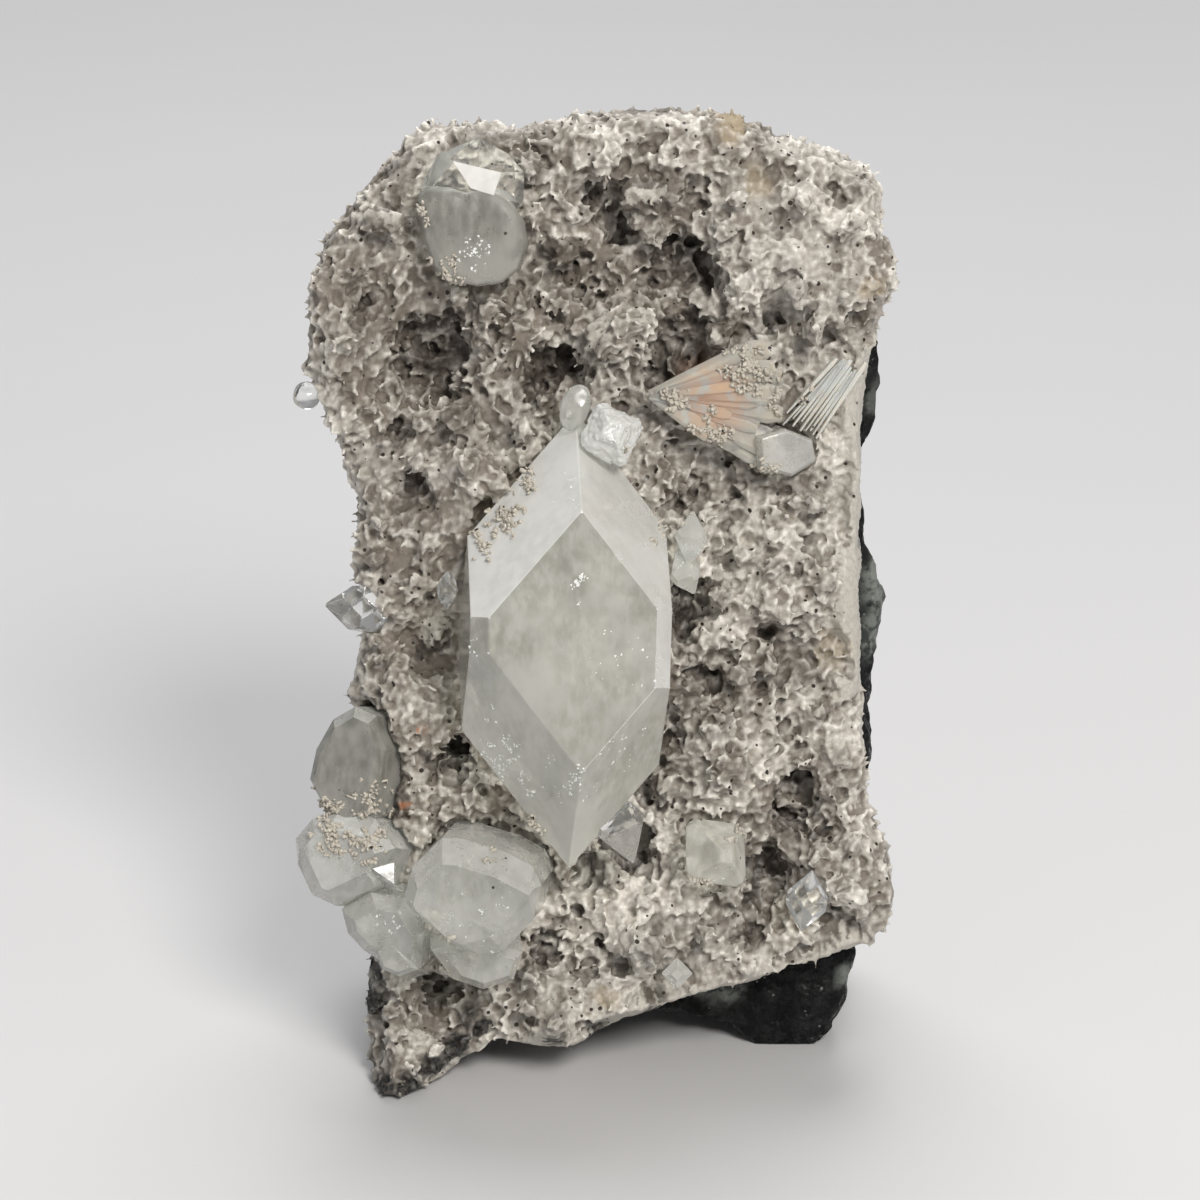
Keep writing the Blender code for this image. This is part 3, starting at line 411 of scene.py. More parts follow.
# Stilbite: a fan from one root, and a bundle of laths to its right. Angles are in degrees.
FAN_ROOT = (4.2, 59.6)
FAN_BLADES = 46
FAN_ANGLES = (-30.0, 22.0)
FAN_STRAY = (-3.0, 3.0)
FAN_TILT = (2.0, 5.0)
FAN_LENGTH = (6.0, 11.5)
FAN_WIDTH = (1.2, 2.4)
FAN_THICKNESS = 0.30
FAN_BARE = 0.62
FAN_RISE = -0.30
FAN_LAYER = 0.28
FAN_UNEVEN = (-0.12, 0.12)
LATHS = 10
LATHS_CENTRE = (18.8, 59.9)
LATHS_ANGLE = 54.0
LATHS_STRAY = (-2.2, 2.2)
LATHS_PITCH = 0.36
LATHS_LENGTH = (5.6, 7.8)
LATHS_WIDTH = (0.45, 0.75)
LATHS_THICKNESS = 0.8
LATHS_RISE = 0.7
LATHS_UNEVEN = (-0.12, 0.14)
LATHS_SLIP = (-0.6, 0.6)
LATHS_CLOSE = 3.2
# Along a lath: share of its length and of its width. Across it: side and rise, shares of the half.
LATH_STATIONS = ((0.0, 0.30), (0.35, 0.62), (0.65, 0.88), (0.90, 1.0), (1.0, 0.62))
LATH_SECTION = ((-1.0, -0.2), (-0.55, 1.0), (0.55, 1.0), (1.0, -0.2), (0.0, -1.0))

# Crystals
FLAT_ANGLE = 0.6
EDGE_WIDTH = 0.1
VEIL_WAVE = 0.05
VEIL_WAVE_SIZE = 3.0
WAVE_SIZE = 0.9
SUGAR_SIZE = 0.9
SUGAR_REACH = 0.4
SUGAR_DUST_SIZE = 0.35
BEAD_GRID = 0.14
BEAD_WEAR = 8
BEAD_RISE = 0.12
LEAF_PLATE_RISE = 0.08
CROWN_GRID = 0.13
CROWN_WEAR = 4
CROWN_RISE = 0.24

# Basalt: sizes of its broken planes, lumps, grit and bubbles, and how far they rise
BASALT_GRID = 0.62
BASALT_SINK = 0.45
BASALT_WEAR = 14
CHIP_SIZE = 3.4
CHIP_RISE = 0.6
ROCK_LUMP_SIZE = 2.2
ROCK_LUMP_RISE = 0.35
GRIT_SIZE = 0.8
GRIT_RISE = 0.20
BUBBLE_SPACING = 5.0
BUBBLE_PLACE = Vector((9.0, 0.0, 0.0))
BUBBLE_RADIUS = 0.24
BUBBLE_DEPTH = 5.0
RIND_BORDER = 0.4
SOLE_HEIGHT = 0.25
SOLE_FACING = -0.7
# Grey-green and pink rind on the rock: X, Z, radius and strength
RIND_PATCHES = {
    "right_lump": (25.0, 41.5, 2.6, 0.7),
    "right_lump_low": (24.6, 36.5, 2.0, 0.6),
    "right_top": (24.6, 57.0, 1.6, 0.3),
    "right_foot_edge": (22.6, 6.5, 1.3, 0.7),
    "pink_patch": (10.4, 6.0, 1.9, 0.9),
}


def drawn(x, y, z):
    """A point of the drawing in the frame, in metres."""
    return (Vector((x, y, z)) + ORIGIN) * MM


def plane_y(z):
    """Y of the crust's front plane at height z, on the drawing."""
    return (z - LEAN_PIVOT_Z) * FRONT_LEAN


def on_front(x, z, rise=0.0):
    """A point on the leaning front plane or above it, in the frame, in metres."""
    return drawn(x, plane_y(z) - rise, z)


# Mesh helpers

def points_of(mesh):
    flat = np.empty(len(mesh.vertices) * 3)
    mesh.vertices.foreach_get("co", flat)
    return flat.reshape(-1, 3)


def normals_of(mesh):
    flat = np.empty(len(mesh.vertices) * 3, dtype=np.float32)
    mesh.vertex_normals.foreach_get("vector", flat)
    return flat.reshape(-1, 3).astype(float)


def put_points(mesh, points):
    mesh.vertices.foreach_set("co", points.ravel())
    mesh.update()


def keep_in_box(mesh):
    """Bring points that stand out of the solids' box back to it."""
    put_points(mesh, np.clip(points_of(mesh), CAD_LOW, CAD_HIGH))


def on_drawing(points):
    """X, Y and Z on the drawing, as three rows."""
    return (points / MM - np.array(ORIGIN)).T


def add_object(name, mesh):
    made = bpy.data.objects.new(name, mesh)
    bpy.context.scene.collection.objects.link(made)
    return made


def baked(obj):
    """The object's mesh with its modifiers applied."""
    graph = bpy.context.evaluated_depsgraph_get()
    graph.update()
    return bpy.data.meshes.new_from_object(obj.evaluated_get(graph), depsgraph=graph)


def on_even_grid(obj, grid):
    """The object's mesh made anew on an even grid of that pitch."""
    step = obj.modifiers.new("even_grid", "REMESH")
    step.mode = "VOXEL"
    step.voxel_size = grid * MM
    mesh = baked(obj)
    obj.modifiers.clear()
    return mesh


def fine_copy(name, node, grid):
    """The node's mesh as a new object on an even grid."""
    made = add_object(name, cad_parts[node].data.copy())
    made.data = on_even_grid(made, grid)
    made.data.name = name
    return made


def mesh_from_arrays(name, points, triangles):
    mesh = bpy.data.meshes.new(name)
    mesh.vertices.add(len(points))
    mesh.vertices.foreach_set("co", points.ravel())
    mesh.loops.add(triangles.size)
    mesh.loops.foreach_set("vertex_index", triangles.ravel())
    mesh.polygons.add(len(triangles))
    mesh.polygons.foreach_set("loop_start", np.arange(0, triangles.size, 3))
    mesh.update(calc_edges=True)
    mesh.validate()
    return mesh


def write_values(mesh, name, values):
    """Keep one number per vertex on the mesh, for its material to read."""
    layer = mesh.attributes.new(name, "FLOAT", "POINT")
    layer.data.foreach_set("value", np.asarray(values, dtype=np.float32))


def smooth(mesh, on=True):
    mesh.polygons.foreach_set("use_smooth", np.full(len(mesh.polygons), on))


def from_bmesh(name, bm, soft):
    """The finished bmesh as a new object, with smooth or flat faces."""
    mesh = bpy.data.meshes.new(name)
    bm.to_mesh(mesh)
    bm.free()
    smooth(mesh, soft)
    return add_object(name, mesh)


def worn(mesh, rounds):
    """Soften a mesh evenly, in place."""
    bm = bmesh.new()
    bm.from_mesh(mesh)
    for _ in range(rounds):
        bmesh.ops.smooth_vert(bm, verts=bm.verts, factor=0.5, use_axis_x=True, use_axis_y=True,
                              use_axis_z=True)
    bm.to_mesh(mesh)
    bm.free()


def raise_skin(mesh, rise, relief):
    """Move a mesh along its normals by the rise times relief(place in millimetres)."""
    points = points_of(mesh)
    heights = np.array([relief(Vector(point) / MM) for point in points])
    put_points(mesh, points + normals_of(mesh) * (heights * rise * MM)[:, None])


def surface_tree(mesh):
    """A search tree over a mesh, and its faces."""
    faces = [tuple(face.vertices) for face in mesh.polygons]
    return BVHTree.FromPolygons([Vector(point) for point in points_of(mesh)], faces), faces


def tube_faces(rings, sides, base=0):
    """Triangles around rings of points, closed at both ends; base is the first point's number."""
    faces = []
    for ring in range(rings - 1):
        start = base + ring * sides
        for side in range(sides):
            after = (side + 1) % sides
            faces.append((start + side, start + after, start + sides + after))
            faces.append((start + side, start + sides + after, start + sides + side))
    last = base + sides * (rings - 1)
    for side in range(1, sides - 1):
        faces.append((base, base + side + 1, base + side))
        faces.append((last, last + side, last + side + 1))
    return faces


def own(piece, nodes, slot, material):
    """Ride the piece on the rock, hide the nodes that it stands for, and give it its material; slot
    is not used.
    """
    keep_in_box(piece.data)
    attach(piece, "root")
    if nodes:
        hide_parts(*nodes)
    piece.data.materials.clear()
    piece.data.materials.append(material)
    return piece


# Node helpers

def plug(tree, node, inputs):
    """Give a node's inputs, by name or number, their values or the sockets that feed them."""
    for key, value in inputs.items():
        socket = node.inputs[key]
        if isinstance(value, bpy.types.NodeSocket):
            tree.links.new(value, socket)
        else:
            socket.default_value = value
    return node


def add(tree, kind, inputs=None, **settings):
    """Add a node of that kind."""
    made = tree.nodes.new(kind)
    for key, value in settings.items():
        setattr(made, key, value)
    return plug(tree, made, inputs or {})


def colour(r, g, b):
    return (r, g, b, 1.0)


def group(name, inputs, outputs):
    """A new node group: its tree, and its input and output nodes."""
    tree = bpy.data.node_groups.new(name, "ShaderNodeTree")
    kinds = {"c": "NodeSocketColor", "f": "NodeSocketFloat", "v": "NodeSocketVector"}
    for title, kind in inputs:
        tree.interface.new_socket(title, in_out="INPUT", socket_type=kinds[kind])
    for title, kind in outputs:
        tree.interface.new_socket(title, in_out="OUTPUT", socket_type=kinds[kind])
    return tree, tree.nodes.new("NodeGroupInput"), tree.nodes.new("NodeGroupOutput")


def use(tree, shared, inputs):
    """Place a shared group in a material with its own values."""
    made = tree.nodes.new("ShaderNodeGroup")
    made.node_tree = shared
    return plug(tree, made, inputs)


def scaled(tree, vector, factor):
    return add(tree, "ShaderNodeVectorMath", {0: vector, 3: factor}, operation="SCALE").outputs[0]


def cloud(tree, place, scale, **values):
    """Soft noise between 0 and 1; values are Detail and Roughness."""
    made = add(tree, "ShaderNodeTexNoise", {"Vector": place, "Scale": scale, **values})
    return made.outputs["Fac"]


def math_node(tree, operation, a, b):
    return add(tree, "ShaderNodeMath", {0: a, 1: b}, operation=operation).outputs[0]


def blend_colours(tree, share, a, b, how="MIX"):
    made = add(tree, "ShaderNodeMix", {0: share, 6: a, 7: b}, data_type="RGBA", blend_type=how)
    return made.outputs[2]


def ramp(tree, value, low, high):
    """0 below low, 1 above high."""
    made = add(tree, "ShaderNodeMapRange", {0: value, 1: low, 2: high})
    made.interpolation_type = "SMOOTHSTEP"
    return made.outputs[0]


def frame_place(tree):
    """Position in the frame, in millimetres."""
    return scaled(tree, add(tree, "ShaderNodeTexCoord").outputs["Object"], 1.0 / MM)


# Shared effects

SPECK_SMALLEST = 0.35
FINE_GRAIN_SHARE = 0.4
LEAF_WARP = 0.8
LEAF_SEAM_SHADE = (0.35, 0.80)
FROST_START = 0.92
FROST_BORDER = 0.16


def make_speck_group():
    """Tiny dark mineral grains on a surface."""
    tree, ins, outs = group(
        "dark_specks",
        [("Place", "v"), ("Colour", "c"), ("Speck Colour", "c"), ("Spacing", "f"), ("Radius", "f"),
         ("Share", "f")],
        [("Colour", "c"), ("Mask", "f")],
    )
    scale = math_node(tree, "DIVIDE", 1.0, ins.outputs["Spacing"])
    cells = add(tree, "ShaderNodeTexVoronoi", {"Vector": ins.outputs["Place"], "Scale": scale})
    parts = add(tree, "ShaderNodeSeparateColor", {0: cells.outputs["Color"]})
    size = math_node(tree, "MULTIPLY", ins.outputs["Radius"], scale)
    uneven = math_node(tree, "ADD", parts.outputs[1], SPECK_SMALLEST)
    size = math_node(tree, "MULTIPLY", size, uneven)
    near = math_node(tree, "LESS_THAN", cells.outputs["Distance"], size)
    chosen = math_node(tree, "LESS_THAN", parts.outputs[0], ins.outputs["Share"])
    mask = math_node(tree, "MULTIPLY", near, chosen)
    result = blend_colours(tree, mask, ins.outputs["Colour"], ins.outputs["Speck Colour"])
    plug(tree, outs, {"Colour": result, "Mask": mask})
    return tree


def make_mottle_group():
    """Two colours in soft patches."""
    tree, ins, outs = group(
        "mineral_mottle",
        [("Place", "v"), ("Light", "c"), ("Dark", "c"), ("Patch", "f"), ("Balance", "f"),
         ("Softness", "f")],
        [("Colour", "c"), ("Mask", "f")],
    )
    scale = math_node(tree, "DIVIDE", 1.0, ins.outputs["Patch"])
    patches = cloud(tree, ins.outputs["Place"], scale, Detail=3.0, Roughness=0.6)
    low = math_node(tree, "SUBTRACT", ins.outputs["Balance"], ins.outputs["Softness"])
    high = math_node(tree, "ADD", ins.outputs["Balance"], ins.outputs["Softness"])
    mask = ramp(tree, patches, low, high)
    result = blend_colours(tree, mask, ins.outputs["Light"], ins.outputs["Dark"])
    plug(tree, outs, {"Colour": result, "Mask": mask})
    return tree


def make_grain_group():
    """Fine relief for a bump, in two sizes."""
    tree, ins, outs = group(
        "fine_grain", [("Place", "v"), ("Coarse", "f"), ("Fine", "f")], [("Height", "f")]
    )
    layers = [cloud(tree, ins.outputs["Place"], math_node(tree, "DIVIDE", 1.0, ins.outputs[size]),
                    Detail=2.0) for size in ("Coarse", "Fine")]
    fine = math_node(tree, "MULTIPLY", layers[1], FINE_GRAIN_SHARE)
    plug(tree, outs, {"Height": math_node(tree, "ADD", layers[0], fine)})
    return tree


def make_leaf_group():
    """Small leafy grains: relief for a bump, and painted shade in the seams between the grains."""
    tree, ins, outs = group(
        "leafy_grains",
        [("Place", "v"), ("Colour", "c"), ("Seam Shade Colour", "c"), ("Size", "f"), ("Seam Shade", "f")],
        [("Colour", "c"), ("Height", "f")],
    )
    scale = math_node(tree, "DIVIDE", 1.0, ins.outputs["Size"])
    wide = math_node(tree, "MULTIPLY", scale, LEAF_WARP)
    warp = add(tree, "ShaderNodeTexNoise", {"Vector": ins.outputs["Place"], "Scale": wide})
    push = scaled(tree, warp.outputs["Color"], LEAF_WARP)
    bent = add(tree, "ShaderNodeVectorMath", {0: ins.outputs["Place"], 1: push}, operation="ADD")
    cells = add(tree, "ShaderNodeTexVoronoi", {"Vector": bent.outputs[0], "Scale": scale})
    away = cells.outputs["Distance"]
    seam_shade = math_node(tree, "MULTIPLY", ramp(tree, away, *LEAF_SEAM_SHADE), ins.outputs["Seam Shade"])
    result = blend_colours(tree, seam_shade, ins.outputs["Colour"], ins.outputs["Seam Shade Colour"])
    plug(tree, outs, {"Colour": result, "Height": math_node(tree, "SUBTRACT", 1.0, away)})
    return tree


def make_frost_group():
    """Roughness that changes between clear and frosted patches."""
    tree, ins, outs = group(
        "frosting",
        [("Place", "v"), ("Clear", "f"), ("Frosted", "f"), ("Patch", "f"), ("Cover", "f")],
        [("Roughness", "f"), ("Mask", "f")],
    )
    scale = math_node(tree, "DIVIDE", 1.0, ins.outputs["Patch"])
    patches = cloud(tree, ins.outputs["Place"], scale, Detail=4.0, Roughness=0.65)
    low = math_node(tree, "SUBTRACT", FROST_START, ins.outputs["Cover"])
    mask = ramp(tree, patches, low, math_node(tree, "ADD", low, FROST_BORDER))
    spread = math_node(tree, "SUBTRACT", ins.outputs["Frosted"], ins.outputs["Clear"])
    rough = math_node(tree, "MULTIPLY", mask, spread)
    rough = math_node(tree, "ADD", rough, ins.outputs["Clear"])
    plug(tree, outs, {"Roughness": rough, "Mask": mask})
    return tree


SPECKS = make_speck_group()
MOTTLE = make_mottle_group()
GRAIN = make_grain_group()
FROST = make_frost_group()
LEAVES = make_leaf_group()


def new_material(name):
    """A material with its tree, its Principled shader and its output."""
    made = bpy.data.materials.new(name)
    made.use_nodes = True
    tree = made.node_tree
    return made, tree, tree.nodes["Principled BSDF"], tree.nodes["Material Output"]


def bump(tree, height, strength, distance):
    values = {"Strength": strength, "Distance": distance * MM, "Height": height}
    return add(tree, "ShaderNodeBump", values).outputs["Normal"]


def read_values(tree, name):
    return add(tree, "ShaderNodeAttribute", attribute_name=name).outputs["Fac"]


# Materials

VEIL_MOST = 0.26
STAIN_TINTS = {
    "rust": colour(0.42, 0.12, 0.02),
    "tan": colour(0.42, 0.33, 0.20),
    "peach": colour(0.74, 0.47, 0.33),
    "rock": colour(0.012, 0.012, 0.012),
}


def druse_look(name, light, dark, deep, broken_tint=None):
    """Waxy grey-beige crystals with dark specks, with painted shade towards the roots and in
    hollows.
    """
    material, tree, shader, _ = new_material(name)
    place = frame_place(tree)
    shade = blend_colours(tree, read_values(tree, "tone"), dark, light)
    if broken_tint:
        shade = blend_colours(tree, read_values(tree, "broken"), shade, broken_tint)
    # painted shade: the deep colour at the bottom of hollows and on low ground
    shade = blend_colours(tree, read_values(tree, "hollow_shade"), shade, deep)
    for stain, tint in STAIN_TINTS.items():
        shade = blend_colours(tree, read_values(tree, stain), shade, tint)
    # painted shade in the seams between the leafy grains, in the dark colour
    leaves = use(tree, LEAVES, {"Place": place, "Colour": shade, "Seam Shade Colour": dark, "Size": 0.42,
                                "Seam Shade": 0.25})
    specks = use(tree, SPECKS, {"Place": place, "Colour": leaves.outputs["Colour"], "Spacing": 0.8,
                                "Radius": 0.16, "Share": 0.34,
                                "Speck Colour": colour(0.03, 0.022, 0.016)})
    rough = add(tree, "ShaderNodeMapRange",
                {"Value": read_values(tree, "tone"), "To Min": 0.62, "To Max": 0.30})
    plug(tree, shader, {"Base Color": specks.outputs["Colour"], "Roughness": rough.outputs[0],
                        "Normal": bump(tree, leaves.outputs["Height"], 0.5, 0.10), "IOR": 1.5})
    return material


def basalt_look():
    """Near-black granular rock with glossy grains, pale flecks and a grey-green rind."""
    material, tree, shader, _ = new_material("basalt")
    place = frame_place(tree)
    patches = use(tree, MOTTLE, {"Place": place, "Light": colour(0.003, 0.0033, 0.0035),
                                 "Dark": colour(0.010, 0.011, 0.011), "Patch": 1.6,
                                 "Balance": 0.52, "Softness": 0.08})
    flecks = use(tree, SPECKS, {"Place": place, "Colour": patches.outputs["Colour"], "Spacing": 0.7,
                                "Radius": 0.17, "Share": 0.20,
                                "Speck Colour": colour(0.12, 0.13, 0.12)})
    pale = use(tree, MOTTLE, {"Place": place, "Light": flecks.outputs["Colour"], "Patch": 4.0,
                              "Dark": colour(0.12, 0.125, 0.115), "Balance": 0.74,
                              "Softness": 0.03})
    mottled = use(tree, MOTTLE, {"Place": place, "Light": colour(0.30, 0.32, 0.29), "Patch": 1.2,
                                 "Dark": colour(0.06, 0.07, 0.065), "Balance": 0.55,
                                 "Softness": 0.10})
    rind = blend_colours(tree, read_values(tree, "rind"), pale.outputs["Colour"],
                         mottled.outputs["Colour"])
    frost = use(tree, FROST, {"Place": place, "Clear": 0.32, "Frosted": 0.85, "Patch": 0.7,
                              "Cover": 0.50})
    grain = use(tree, GRAIN, {"Place": place, "Coarse": 0.8, "Fine": 0.26})
    plug(tree, shader, {"Base Color": rind, "Roughness": frost.outputs["Roughness"],
                        "Normal": bump(tree, grain.outputs["Height"], 1.0, 0.3),
                        "Specular IOR Level": 0.20})
    return material


def crystal_look(name, tint, milk, transmission, clear, frosted, cover, specks=0.05, streak=0.9):
    """Apophyllite: glass with milk in streaks and clouds, frosted patches and fine growth marks.

    clear and frosted are the roughness of its clear and of its frosted patches."""
    material, tree, shader, output = new_material(name)
    place = frame_place(tree)
    drawn_out = add(tree, "ShaderNodeVectorMath", {0: place, 1: (1.0, 1.0, 0.45)},
                    operation="MULTIPLY").outputs[0]
    streaks = use(tree, MOTTLE, {"Place": drawn_out, "Light": tint, "Dark": milk, "Patch": streak,
                                 "Balance": 0.54, "Softness": 0.22})
    clouds = use(tree, MOTTLE, {"Place": place, "Light": streaks.outputs["Colour"], "Dark": milk,
                                "Patch": 6.0, "Balance": 0.54, "Softness": 0.12})
    dots = use(tree, SPECKS, {"Place": place, "Colour": clouds.outputs["Colour"], "Spacing": 1.1,
                              "Radius": 0.12, "Share": specks,
                              "Speck Colour": colour(0.05, 0.035, 0.025)})
    frost = use(tree, FROST, {"Place": place, "Clear": clear, "Frosted": frosted, "Patch": 2.2,
                              "Cover": cover})
    grain = use(tree, GRAIN, {"Place": drawn_out, "Coarse": 1.1, "Fine": 0.22})
    plug(tree, shader, {"Base Color": dots.outputs["Colour"],
                        "Roughness": frost.outputs["Roughness"],
                        "Normal": bump(tree, grain.outputs["Height"], 0.45, 0.05),
                        "Transmission Weight": transmission, "IOR": 1.535})
    through = add(tree, "ShaderNodeBsdfTransparent", {"Color": colour(0.85, 0.87, 0.85)})
    shadow = add(tree, "ShaderNodeLightPath").outputs["Is Shadow Ray"]
    share = math_node(tree, "MULTIPLY", shadow, transmission)
    both = add(tree, "ShaderNodeMixShader", {0: share, 1: shader.outputs[0], 2: through.outputs[0]})
    tree.links.new(both.outputs[0], output.inputs["Surface"])
    return material


def glint_look():
    """Painted glints: near-white glossy flakes, bright under any light, for the flash of healed
    cracks.
    """
    material, tree, shader, _ = new_material("painted_crack_glints")
    tone = use(tree, MOTTLE, {"Place": frame_place(tree), "Light": colour(0.95, 0.96, 0.95),
                              "Dark": colour(0.80, 0.83, 0.80), "Patch": 0.5, "Balance": 0.5,
                              "Softness": 0.1})
    plug(tree, shader, {"Base Color": tone.outputs["Colour"], "Roughness": 0.18})
    return material


def veil_look():
    """Milky cloud inside a crystal, thicker in patches."""
    material, tree, shader, _ = new_material("milky_veil")
    patches = use(tree, MOTTLE, {"Place": frame_place(tree), "Light": colour(0, 0, 0),
                                 "Dark": colour(1, 1, 1), "Patch": 3.6, "Balance": 0.51,
                                 "Softness": 0.15})
    plug(tree, shader, {"Base Color": colour(0.74, 0.735, 0.67), "Roughness": 0.8,
                        "Alpha": math_node(tree, "MULTIPLY", patches.outputs["Mask"], VEIL_MOST)})
    return material


def stilbite_look(name, near, far, root, reach):
    """Pearly blades, one colour near the root that turns to another over the reach."""
    material, tree, shader, _ = new_material(name)
    place = frame_place(tree)
    away = add(tree, "ShaderNodeVectorMath", {0: place, 1: on_front(*root) / MM},
               operation="DISTANCE")
    body = blend_colours(tree, ramp(tree, away.outputs["Value"], *reach), near, far)
    patches = use(tree, MOTTLE, {"Place": place, "Light": body, "Dark": colour(0.60, 0.56, 0.49),
                                 "Patch": 1.6, "Balance": 0.6, "Softness": 0.1})
    dots = use(tree, SPECKS, {"Place": place, "Colour": patches.outputs["Colour"], "Spacing": 1.0,
                              "Radius": 0.12, "Share": 0.12,
                              "Speck Colour": colour(0.06, 0.04, 0.03)})
    frost = use(tree, FROST, {"Place": place, "Clear": 0.42, "Frosted": 0.75, "Patch": 1.5,
                              "Cover": 0.5})
    grain = use(tree, GRAIN, {"Place": place, "Coarse": 0.8, "Fine": 0.2})
    plug(tree, shader, {"Base Color": dots.outputs["Colour"],
                        "Roughness": frost.outputs["Roughness"],
                        "Normal": bump(tree, grain.outputs["Height"], 0.4, 0.05), "IOR": 1.5,
                        "Subsurface Weight": 0.5, "Subsurface Radius": (1.0, 0.7, 0.5),
                        "Subsurface Scale": 1.2 * MM})
    return material


# The crust and its blades

def share_between(values, low, high):
    """0 up to low, 1 from high on, and evenly between them."""
    return np.clip((values - low) / (high - low), 0.0, 1.0)


def crust_openness(points, normals):
    """1 where a point of the crust is on the old cavity wall, 0 where the crust is broken."""
    x, y, z = on_drawing(points)
    facing = np.maximum(-normals[:, 1], normals[:, 2] + UPWARD_EASE)
    reach = OPEN_DEPTH + (OPEN_DEPTH_TOP - OPEN_DEPTH) * share_between(z, *TOP_FADE)
    near_front = share_between(reach - (y - plane_y(z)), 0.0, OPEN_DEPTH_FADE)
    opened = share_between(facing, *OPEN_FACING) * near_front
    low, high = RIGHT_BREAK_Z
    right_edge = (x > RIGHT_BREAK_X) & (z > low) & (z < high) & (normals[:, 0] > RIGHT_BREAK_FACING)
    lower_rim = (normals[:, 2] < LOWER_BREAK_FACING) & (z < LOWER_BREAK_Z)
    opened[right_edge | lower_rim] = 0.0
    return opened


SPOT_EDGE = 1.35
SPOT_BORDER = 0.75


def near_spots(x, z, spots, wobble):
    """The strongest pull of the named places at each point, with ragged borders."""
    pull = np.zeros(len(x))
    for spot_x, spot_z, radius, amount in spots.values():
        away = np.hypot(x - spot_x, z - spot_z) + wobble
        inside = np.clip((SPOT_EDGE * radius - away) / (SPOT_BORDER * radius), 0.0, 1.0)
        pull = np.maximum(pull, amount * inside * inside * (3 - 2 * inside))
    return pull


def zone_sum(x, z, zones, base=0.0):
    """Soft zones added up at each point, on top of a base."""
    total = np.full(len(x), base)
    for zone_x, zone_z, radius, amount in zones.values():
        total += amount * np.exp(-((x - zone_x) ** 2 + (z - zone_z) ** 2) / radius ** 2)
    return total


def blade_vigour(x, z):
    """How coarse the druse is at each point."""
    zones = {name: (*spot[:3], spot[3] - 1.0) for name, spot in BLADE_ZONES.items()}
    return np.clip(zone_sum(x, z, zones, 1.0), *VIGOUR_RANGE)


def crust_relief(points):
    """Noise at each point: lumps, clumps, grains, ragged borders, crevices, each clump's own tone,
    and the way out from its clump's middle."""
    count = len(points)
    lumps, clumps, grains, wobble, crevice, mood = (np.empty(count) for _ in range(6))
    fan = np.empty((count, 3))
    for index, point in enumerate(points):
        place = Vector(point) / MM
        warp = noise.noise(place / WARP_SIZE) * WARP_RISE
        bent = place + Vector((warp, warp, -warp))
        near, centres = noise.voronoi(bent / CLUMP_SIZE)
        grain = noise.voronoi(place / GRAIN_SIZE)[0][0]
        lumps[index] = noise.noise(place / LUMP_SIZE)
        clumps[index] = CLUMP_REACH - near[0]
        grains[index] = GRAIN_REACH - grain
        wobble[index] = BORDER_RISE * noise.noise(place / BORDER_SIZE) + 0.5 * (grain - GRAIN_REACH)
        crevice[index] = noise.noise(bent / CREVICE_SIZE + CREVICE_PLACE)
        mood[index] = noise.noise(centres[0] * CLUMP_TONE_SPREAD)
        fan[index] = bent - centres[0] * CLUMP_SIZE
    return lumps, clumps, grains, wobble, crevice, mood, fan


def make_crust():
    """The body of the crust on a fine grid, broken in clumps with deep hollows between them."""
    crust = fine_copy("druse_body", "druse_crust", CRUST_GRID)
    mesh = crust.data
    points = points_of(mesh)
    normals = normals_of(mesh)
    opened = crust_openness(points, normals)
    x, y, z = on_drawing(points)
    vigour = blade_vigour(x, z)
    lumps, clumps, grains, wobble, crevice, mood, fan = crust_relief(points)

    calm = np.clip(vigour, CALMEST, WILDEST)
    rises = LUMP_RISE * lumps + CLUMP_RISE * clumps * calm + GRAIN_RISE * grains
    cracks = np.clip(1.0 - np.abs(crevice) / CREVICE_HALF, 0.0, 1.0) * CREVICE_DEPTH
    cracks *= np.clip(vigour - CREVICE_VIGOUR, 0.0, 1.0)
    cracks *= np.clip(CREVICE_BASE + CREVICE_ON_LUMPS * lumps, 0.0, 1.0)
    holes = near_spots(x, z, HOLLOWS, wobble)
    deep = np.minimum(np.maximum(holes, cracks) * opened, CRUST_DEEPEST - (y - plane_y(z)))
    forward = np.clip(-FORWARD_GAIN * normals[:, 1], FORWARD_LEAST, 1.0)
    shift = -CRUST_SINK * opened * forward
    shift += rises * (CLOSED_SHARE + (1.0 - CLOSED_SHARE) * opened * forward)
    moved = points + normals * shift[:, None] * MM
    moved[:, 1] += np.clip(deep, 0.0, None) * MM
    put_points(mesh, moved)
    keep_in_box(mesh)

    # Painted shade for the material: low ground, the dark hollows and the crevices go towards the
    # deep colour
    low, high = np.percentile(rises, (LOWEST_PERCENT, HIGHEST_PERCENT))
    hollow_shade = (1.0 - share_between(rises, low, high)) ** 2 * HOLLOW_SHADE_SHARE
    shade = np.clip(np.maximum(holes / HOLE_FULLY_DARK, cracks / CREVICE_DEPTH), 0.0, 1.0)
    hollow_shade = np.clip(hollow_shade + shade, 0.0, 1.0) * opened
    tone = zone_sum(x, z, TONE_ZONES, MIDDLE_TONE) + CLUMP_TONE * mood
    facts = {"tone": np.clip(tone, 0, 1), "hollow_shade": hollow_shade * HOLLOW_SHADE_MOST, "broken": 1.0 - opened,
             "opened": opened, "fan": fan}
    for name, spots in STAINS.items():
        facts[name] = near_spots(x, z, spots, wobble * STAIN_BORDER)
    return crust, facts


def blade_template():
    """One blade: rings of points along Z, closed at the root and at the tip."""
    turns = [2 * math.pi * side / BLADE_SIDES for side in range(BLADE_SIDES)]
    points = [(math.cos(turn) * width / 2, math.sin(turn) * width / 2, height)
              for height, width in BLADE_RINGS for turn in turns]
    return np.array(points), np.array(tube_faces(len(BLADE_RINGS), BLADE_SIDES))


